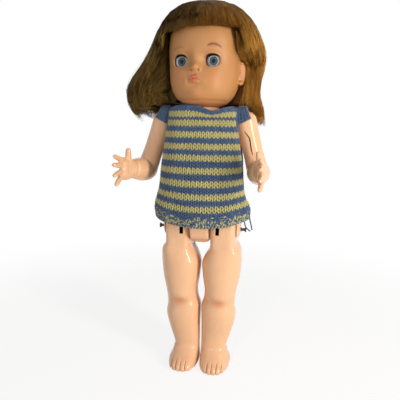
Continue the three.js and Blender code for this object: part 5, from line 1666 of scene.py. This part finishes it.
def clear_of_shoulders(paths):
    """Keeps hair out of the head, off the ear, behind the shoulders and over the right arm."""
    x, y, z = np.moveaxis(out_of_head(paths, 1.3).copy(), -1, 0)
    behind = EAR_BACK - 0.4 * np.clip(x - 66.0, 0, 30)
    by_ear = (x > EAR_X) & (y < behind) & (z < EAR_TOP) & (z > EAR_FOOT)
    y = np.where(by_ear, behind + (behind - y) * 0.12, y)
    low = (z < SHOULDERS_TOP) & (y < SHOULDERS_BACK) & (x > CAP_SIDE)
    outside = low & (x < SHOULDERS_END)
    x = np.where(outside, CAP_SIDE + (x - SHOULDERS_END) * 0.15, x)
    y = np.where(low & ~outside, SHOULDERS_BACK, y)
    lowest = ARM_CLEAR + 14.0 * ramp(y, 22.0, 6.0)
    over_arm = (x < -60.0) & (x > -104.0) & (y < 60.0) & (z < lowest)
    return np.stack([x, y, np.where(over_arm, lowest + (z - lowest) * 0.12, z)], -1)


def hair_piece(name, paths, tone, radius, material):
    share = np.linspace(0, 1, paths.shape[1])
    radii = radius * (0.75 + 0.35 * np.sin(math.pi * share)) * (1.0 - 0.75 * ramp(share, 0.8, 1.0))
    paths = head_turned(clear_of_shoulders(paths))
    return coated(tubes(name, paths, np.broadcast_to(radii, paths.shape[:2]), 3, tone), material)


def loose_hair(piece, nodes=()):
    """Finishes hair that falls from the head onto the shoulders."""
    finished(piece, stands_for=nodes)
    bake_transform(piece)


def hair_core(name, low, high, depth, material):
    """The inside of the hair between two heights, clear of the head, face, ear and shoulders: a solid painted
    dark as the shade within the hair.
    """
    heights, turns = np.linspace(low, high, 30)[:, None], round_turns(96)
    rings = in_hair(heights + 0 * turns, turns[None])
    size = np.linalg.norm(rings[..., :2], axis=2, keepdims=True)
    rings[..., :2] *= np.maximum(size - depth, 2.0) / size
    core = skin(name, rings)
    cut(core, skin("room", level_rings(head_rows(-1.2), turns)))
    cut(core, rod("z", 360.0, 420.0, 44.0, sides=64))
    for window in HAIR_WINDOWS:
        if window[4] < high:
            cut(core, block(*window))
    for kind in ("tone", "along"):
        mark(core, kind, np.full(len(core.data.vertices), 0.3))
    return coated(turned_with_head(core), material)


# Directions round the head that each part of the hair falls in, in degrees, and the solids it stands for
HAIR_PARTS = (
    ("hair_left_front", -34.0, 20.0, ("hair_side_left",)),
    ("hair_left_rear", 16.0, 60.0, ()),
    ("hair_rear_left", 56.0, 94.0, ("hair_back",)),
    ("hair_rear_right", 90.0, 130.0, ()),
    ("hair_right_rear", 124.0, 176.0, ()),
    ("hair_right_front", 170.0, 226.0, ("hair_side_right",)),
)
# The hair at each temple: name, side, share of all tufts, heights of the first and last root,
# directions of the first and last end, and the direction it bulges to
TEMPLES = (("hair_temple_left", 1, 0.05, (512.0, 478.0), (-26.0, 24.0), -14.0),
           ("hair_temple_right", -1, 0.09, (512.0, 436.0), (196.0, 238.0), 208.0))
CORE_TOP, CORE_FOOT = (476.0, 551.0), (396.0, 476.0)  # heights of the two parts of the hair's inside, painted dark as shade
# Room in it for the face, for the ear on the doll's left and for the shoulders
HAIR_WINDOWS = ((-200.0, 200.0, -120.0, -4.0, 370.0, FACE_TOP), (30.0, 200.0, -80.0, 22.0, 370.0, 488.0),
                (-200.0, 200.0, -120.0, 44.0, 370.0, 416.0))


class DOLL_OT_hair(Operator):
    """Roots the fringe and the long loose hair"""

    bl_idname = "doll.hair"
    bl_label = "Hair"

    def execute(self, context):
        sizes, colours = context.scene.doll_sizes, context.scene.doll_colours
        fibre = hair_fibre(colours, "hair_fibre")
        # The hair's inside is painted in shade, with a darker copy of the fibre
        deep = hair_fibre(colours, "hair_shade", 0.55)
        radius, strands = sizes.strand_radius / MM, sizes.strands
        rng = np.random.default_rng(5)
        for name, low, high, nodes in HAIR_PARTS:
            locks = long_locks(rng, int(strands * (high - low) / 1000.0), low, high)
            paths, tone = frayed(rng, locks, 10, 2.6)
            loose_hair(hair_piece(name, clear_of_face(paths), tone, radius, fibre), nodes)
        for name, side, share, *ways in TEMPLES:
            paths, tone = frayed(rng, temple_locks(rng, int(strands * share), side, *ways), 10, 2.4)
            loose_hair(hair_piece(name, clear_of_face(paths), tone, radius, fibre))
        paths, tone = frayed(rng, long_locks(rng, int(strands * 0.24), -30.0, 222.0), 2, 6.0)
        loose_hair(hair_piece("hair_wisps", clear_of_face(paths), tone, radius * 0.5, fibre))
        fringe = frayed(rng, fringe_locks(rng, int(strands * 0.1), 212.0, 328.0), 12, 2.0, 0.3)
        finished(hair_piece("hair_front", *fringe, radius, fibre), "head", ("hair_fringe",))
        top = hair_core("hair_core_top", *CORE_TOP, 6.0, deep)
        finished(top, "head", ("hair_crown",))
        loose_hair(hair_core("hair_core_foot", *CORE_FOOT, 12.0, deep))
        return {"FINISHED"}


# The knitted top: height, half width, front, back, squareness
KNIT_ROWS = (
    (235.5, 70.0, 71.0, 51.0, 46.0, 2.5), (249.5, 72.5, 71.5, 50.5, 45.0, 2.5),
    (258.0, 72.0, 69.8, 50.0, 44.0, 2.6), (270.0, 69.0, 64.6, 49.5, 42.0, 2.8),
    (290.0, 65.0, 61.6, 49.0, 39.5, 3.0), (320.5, 62.6, 59.6, 47.0, 36.0, 3.2),
    (345.0, 59.0, 58.6, 44.2, 34.7, 3.3), (377.0, 56.0, 56.4, 38.0, 33.0, 3.2),
    (392.0, 55.0, 55.6, 35.0, 32.5, 3.1), (400.0, 54.4, 55.2, 33.0, 32.0, 3.0),
    (405.5, 52.4, 53.6, 31.8, 31.5, 2.8), (408.6, 47.0, 48.0, 32.2, 31.8, 2.5),
    (410.4, 38.0, 38.0, 33.0, 32.2, 2.2),
)
NECK_EDGE, BAND_TOP = 410.4, 249.0
ARMHOLE_TOP, ARMHOLE_FOOT = (SHOULDER, 21.0), (SHOULDER - 39.0, 17.0)  # height and radius of each round end
HEM_LIFT, NECK_DIP = 9.0, 8.0
COURSE, COURSES = 4.3, 2  # height of one course, and how many make a stripe
LOOP_LEAN = 0.205  # how far a loop leans over its neighbours, in stitches
HEM_STITCHES, HEM_FLECKS = 84, (0.6, 0.54, 0.46, 0.3)  # share of yellow in each course of the hem
CAP_RADIUS, CAP_RISE, CAP_START, CAP_END, CAP_TOP = 20.4, 2.2, 51.6, 72.4, 10.0
CAP_COURSES, CAP_STITCHES = 4, 13


def knit_rows():
    """The rows of the knitted top as level ring rows."""
    z, right, left, front, back, square = np.array(KNIT_ROWS).T
    return smooth_rows(np.stack([z, 0 * z, right, left, front, back, square], -1), 8)


def knit_lift(x, y, z):
    """Height of the fabric over its level course: up at the hem's sides, down at one side of the neck."""
    side = HEM_LIFT * ramp(z, 350.0, 240.0) * np.abs(x / 70.0) ** 2.6
    return side - NECK_DIP * ramp(z, 392.0, 409.0) * near(x - 16.0, 17.0) * (y < 0)


class KnitSurface:
    """The outside of the knitted top, told by a share round it and a height."""

    def __init__(self, sides=480, turns=721):
        rows = knit_rows()
        self.sides, self.heights = sides, np.linspace(HEM - 1.0, NECK_EDGE, 140)
        held = np.stack([np.interp(self.heights, rows[:, 0], rows[:, k]) for k in range(7)], -1)
        turn = np.linspace(0, 2 * math.pi, turns)
        rings = level_rings(held, turn - math.pi / 2)
        low = ramp(self.heights, 318.0, 238.0)[:, None]
        fold = 1.5 * low * np.sin(5 * turn + 0.9) + 0.8 * low * np.sin(9 * turn + 2.0)
        fold += 0.5 * np.sin(4 * turn + 1.3)
        rings[..., :2] += units(rings[..., :2]) * fold[..., None]
        rings[..., 2] += knit_lift(*np.moveaxis(rings, -1, 0))
        lengths = lengths_along(rings)
        self.table = np.stack([spaced(ring, length, np.linspace(0, length[-1], sides + 1))
                               for ring, length in zip(rings, lengths)])
        across = np.roll(self.table[:, :-1], -1, 1) - np.roll(self.table[:, :-1], 1, 1)
        across = np.concatenate([across, across[:, :1]], 1)
        self.normals = units(np.cross(across, np.gradient(self.table, axis=0)))

    def place(self, share, height, outward=0.0):
        column = np.mod(share, 1.0) * self.sides
        row = np.interp(height, self.heights, np.arange(len(self.heights)))
        i = np.clip(column.astype(int), 0, self.sides - 1)
        j = np.clip(row.astype(int), 0, len(self.heights) - 2)
        a, b = (column - i)[..., None], (row - j)[..., None]

        def read(table):
            low = table[j, i] * (1 - a) + table[j, i + 1] * a
            high = table[j + 1, i] * (1 - a) + table[j + 1, i + 1] * a
            return low * (1 - b) + high * b

        return read(self.table) + read(self.normals) * np.asarray(outward)[..., None]


def in_armhole(points, margin=0.0):
    """Which points lie in the armholes."""
    y, z = points[..., 1], points[..., 2]
    (top, wide), (foot, narrow) = ARMHOLE_TOP, ARMHOLE_FOOT
    middle = np.clip(z, foot, top)
    radius = narrow + (wide - narrow) * (middle - foot) / (top - foot) + margin
    return (np.abs(points[..., 0]) > 30.0) & (np.hypot(y, z - middle) < radius)


def course_heights():
    """The height of each course of stitches and whether it is yellow."""
    half = COURSE * COURSES / 2
    edges = [BAND_TOP] + sorted(STRIPES) + [NECK_EDGE]
    courses = []
    for k, middle in enumerate(sorted(STRIPES)):
        below = edges[k] + (half if k else 0.0)
        gap = middle - half - below
        count = max(1, round(gap / COURSE))
        courses += [(below + gap * (i + 0.5) / count, False) for i in range(count)]
        courses += [(middle - half + COURSE * (i + 0.5), True) for i in range(COURSES)]
    top = edges[-2] + half
    count = max(1, round((NECK_EDGE - 0.8 - top) / COURSE))
    return courses + [(top + (NECK_EDGE - 0.8 - top) * (i + 0.5) / count, False) for i in range(count)]


def stitch_run(stitches, tall, first=0.0, depth=0.9, steps=12):
    """Loops of one course: how far along in stitches, up and out each point lies, and its twist."""
    turn = np.linspace(0, 2 * math.pi * stitches, stitches * steps, endpoint=False)
    twist = turn / (2 * math.pi)
    along = twist + first + LOOP_LEAN * np.sin(2 * turn)
    return along, -tall * np.cos(turn), -depth * np.cos(2 * turn), twist


def yarn_piece(name, runs, radius, material, sides=6):
    """One mesh of many lengths of yarn. Each run is its line, whether it closes, its tone and its twist."""
    points, faces, along, around, tones, held = [], [], [], [], [], 0
    for path, closed, tone, twist in runs:
        outward = units(path * (1.0, 1.0, 0.0), TINY)
        points.append(tube_rings(path, radius, sides, closed, outward).reshape(-1, 3))
        index = held + np.arange(len(path) * sides).reshape(1, len(path), sides)
        faces.append(tube_faces(index, closed))
        along.append(np.repeat(twist, sides))
        around.append(np.tile(np.arange(sides) / sides, len(path)))
        tones.append(np.repeat(np.broadcast_to(tone, len(path)), sides))
        held += index.size
    piece = mesh_piece(name, np.concatenate(points), np.concatenate(faces))
    for kind, values in (("along", along), ("around", around), ("tone", tones)):
        mark(piece, kind, np.concatenate(values))
    piece.data.validate()
    return coated(piece, material)


def knit_course(surface, height, stitches, tall, rng):
    """The lengths of yarn of one course round the top, broken at the armholes."""
    along, up, out, twist = stitch_run(stitches, tall)
    wander = 0.35 * np.sin(twist * 0.7 + height) + rng.normal(0, 0.07, len(along))
    path = surface.place(along / stitches, height + up + wander, out - 1.5)
    gone = in_armhole(path, 0.6)
    if not gone.any():
        return [(path, True, 0.0, twist)]
    shift = -int(np.argmax(gone))
    path, twist, gone = (np.roll(values, shift, 0) for values in (path, twist, gone))
    edges = np.flatnonzero(np.diff(np.concatenate([[True], gone, [True]])))
    return [(path[a:b], False, 0.0, twist[a:b]) for a, b in zip(edges[::2], edges[1::2]) if b - a > 6]


def hem_runs(surface, rng):
    """The marled band at the hem: short garter loops of the two yarns."""
    runs = []
    for k, share in enumerate(HEM_FLECKS):
        along, up, out, twist = stitch_run(HEM_STITCHES, 2.7, 0.25 * (k % 2), 1.3, 10)
        flip = np.where(np.floor(twist + 0.25) % 2 == k % 2, 1.0, -0.6)
        out = out * flip - 0.6 + rng.normal(0, 0.12, len(along))
        path = surface.place(along / HEM_STITCHES, HEM + 2.6 + 3.3 * k + up, out)
        flecks = rng.random(HEM_STITCHES * 3) < share
        tone = flecks[np.floor(twist * 3).astype(int) % len(flecks)]
        runs.append((path, True, tone.astype(float), twist))
    return runs


def bound_edge(surface, height, count, radius, twists, tones):
    """Two or three yarns twisted round each other along an edge."""
    share = np.linspace(0, 1, count, endpoint=False)
    runs = []
    for k, tone in enumerate(tones):
        phase = 2 * math.pi * (share * twists + k / len(tones))
        path = surface.place(share, height + radius * np.sin(phase), radius * np.cos(phase) - 0.4)
        runs.append((path, True, tone, share * twists * 2))
    return runs


def armhole_edge(side, grow):
    """A line round one armhole, on the outside of the top."""
    (top, wide), (foot, narrow) = ARMHOLE_TOP, ARMHOLE_FOOT
    turn = full_turns(120)
    upper = np.sin(turn) >= 0
    radius = np.where(upper, wide, narrow) + grow
    y = radius * np.cos(turn)
    z = np.minimum(np.where(upper, top, foot) + radius * np.sin(turn), NECK_EDGE - 1.0)
    rows = knit_rows()
    used = (3 if side > 0 else 2, 4, 5, 6)
    half, front, back, square = (np.interp(z, rows[:, 0], rows[:, k]) for k in used)
    deep = np.where(y < 0, front, back)
    x = half * np.maximum(1 - (np.abs(y) / deep) ** square, 0.0) ** (1 / square)
    return np.stack([(x - 0.8) * side, y, z], -1)


def cap_place(side, share, part, outward):
    """A place on a shoulder cap: share runs from the top's body outwards, part from front to back."""
    low = 0.24 - 0.5 * share
    turn = -low + (math.pi + 2 * low) * part
    over = np.clip(np.sin(turn), 0, 1)
    x = CAP_START + share * (CAP_END - CAP_START - CAP_TOP * over)
    radius = CAP_RADIUS + CAP_RISE * over - 0.022 * np.clip(x - 60.0, 0, None) ** 2 + outward
    return np.stack([x * side, -radius * np.cos(turn), SHOULDER + radius * np.sin(turn)], -1)


def cap_runs(side, rng):
    """Courses of loops over a shoulder, parallel to the armhole, and two twisted yarns along its edge."""
    runs = []
    for k in range(CAP_COURSES):
        along, up, out, twist = stitch_run(CAP_STITCHES, 1.9)
        out = out + rng.normal(0, 0.05, len(out)) - 0.5
        share = np.clip((k + 0.5 + up / COURSE) / CAP_COURSES, -0.1, 1.0)
        runs.append((cap_place(side, share, np.clip(along / CAP_STITCHES, 0, 1), out), False, 0.0, twist))
    part = np.linspace(0, 1, 90)
    for phase in (part * 60, part * 60 + math.pi):
        path = cap_place(side, 1.0 + 0.03 * np.cos(phase), part, 0.7 * np.sin(phase) - 0.8)
        runs.append((path, False, 0.0, part * 24))
    return runs


def cap_backing(side):
    """The thin curved fabric under a shoulder's stitches."""
    share, part = np.meshgrid(np.linspace(0, 1, 16), np.linspace(0, 1, 48), indexing="ij")
    sheets = [cap_place(side, share, part, outward) for outward in (-1.5, -2.5)]
    return skin("cap_backing", np.concatenate([sheets[0], sheets[1][:, ::-1]], 1))


def knit_backing(surface):
    """The closed thin shell behind the stitches, with its armholes."""
    heights = np.linspace(HEM + 0.4, NECK_EDGE - 0.4, 64)
    share, heights = np.meshgrid(np.linspace(0, 1, 150, endpoint=False), heights)
    outer, inner = (surface.place(share, heights, 0 * share - depth) for depth in (1.5, 2.6))
    rings = np.concatenate([outer, inner[::-1]])
    index = np.arange(rings[..., 0].size).reshape(rings.shape[:2])
    shell = mesh_piece("knit_backing", rings.reshape(-1, 3), quads_between(index, np.roll(index, -1, 0)))
    (top, wide), (foot, narrow) = ARMHOLE_TOP, ARMHOLE_FOOT
    outline = arc_places(wide, top, 0.0, 180.0, 40) + arc_places(narrow, foot, 180.0, 360.0, 40)
    for side in (-1, 1):
        cut(shell, prism("armhole", outline, *span(side, 30.0, 100.0)))
    return shell


class DOLL_OT_knitted_top(Operator):
    """Knits the striped top stitch by stitch, with its bands, caps and marled hem"""

    bl_idname = "doll.knitted_top"
    bl_label = "Knitted top"

    def execute(self, context):
        sizes, colours = context.scene.doll_sizes, context.scene.doll_colours
        radius, stitches = sizes.yarn_radius / MM, sizes.stitches
        tall = sizes.course / MM * 0.86
        blue, yellow = yarn("blue_yarn", colours.blue), yarn("yellow_yarn", colours.yellow)
        # The backing, and the lining under each shoulder cap, is wool painted dark as the shade between the
        # stitches
        marled, wool = yarn("marled_yarn", colours.blue, colours.yellow), backing_painted_shade(colours)
        rng, surface = np.random.default_rng(3), KnitSurface()
        runs = {True: [], False: []}
        for height, is_yellow in course_heights():
            runs[is_yellow] += knit_course(surface, height, stitches, tall, rng)
        runs[False] += bound_edge(surface, NECK_EDGE - 0.6, 300, 0.75, 60, (0.0, 0.0))
        for side in (1, -1):
            for grow in (0.2, 1.7):
                edge = armhole_edge(side, grow)
                runs[False].append((edge, True, 0.0, np.arange(len(edge)) * 0.4))
        backing = coated(knit_backing(surface), wool)
        stripes = yarn_piece("knit_stripes", runs[True], radius, yellow)
        ground = yarn_piece("knit_ground", runs[False], radius, blue)
        band = hem_runs(surface, rng)
        band += bound_edge(surface, HEM + 0.8, 600, 0.85, HEM_STITCHES, (1.0, 0.0, 0.0))
        hem = yarn_piece("knit_hem", band, radius * 0.95, marled)
        for piece in (backing, stripes, ground, hem):
            finished(piece, "torso")
        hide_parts("knit_top")
        for side, sign in SIDES:
            lining = coated(cap_backing(sign), wool)
            lining.name = f"cap_backing_{side}"
            cap = yarn_piece(f"cap_{side}", cap_runs(sign, rng), radius, blue)
            for piece in (lining, cap):
                finished(piece)
                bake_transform(piece)
            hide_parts(f"knit_sleeve_{side}")
        return {"FINISHED"}


class DOLL_PT_panel(Panel):
    """The steps that dress the doll"""

    bl_idname = "DOLL_PT_panel"
    bl_label = "Walking doll"
    bl_space_type = "VIEW_3D"
    bl_region_type = "UI"
    bl_category = "Doll"

    def draw(self, context):
        for step in STEPS:
            self.layout.operator(step.bl_idname)
        for group in (context.scene.doll_sizes, context.scene.doll_colours):
            for name in group.bl_rna.properties.keys():
                if name not in ("rna_type", "name"):
                    self.layout.prop(group, name)


STEPS = (DOLL_OT_camera, DOLL_OT_yarn_tails, DOLL_OT_stage, DOLL_OT_hardware, DOLL_OT_hip_pins, DOLL_OT_legs,
         DOLL_OT_body, DOLL_OT_arms, DOLL_OT_head, DOLL_OT_eyes, DOLL_OT_hair, DOLL_OT_knitted_top)
CLASSES = (DollSizes, DollColours, *STEPS, DOLL_PT_panel)


def register():
    for kind in CLASSES:
        bpy.utils.register_class(kind)
    bpy.types.Scene.doll_sizes = PointerProperty(type=DollSizes)
    bpy.types.Scene.doll_colours = PointerProperty(type=DollColours)


def unregister():
    del bpy.types.Scene.doll_colours
    del bpy.types.Scene.doll_sizes
    for kind in reversed(CLASSES):
        bpy.utils.unregister_class(kind)


def main():
    register()
    colours = bpy.context.scene.doll_colours
    hard_plastic(colours)
    dark_gap()
    for step in STEPS:
        group, name = step.bl_idname.split(".")
        getattr(getattr(bpy.ops, group), name)()
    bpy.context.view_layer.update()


if __name__ == "__main__":
    main()
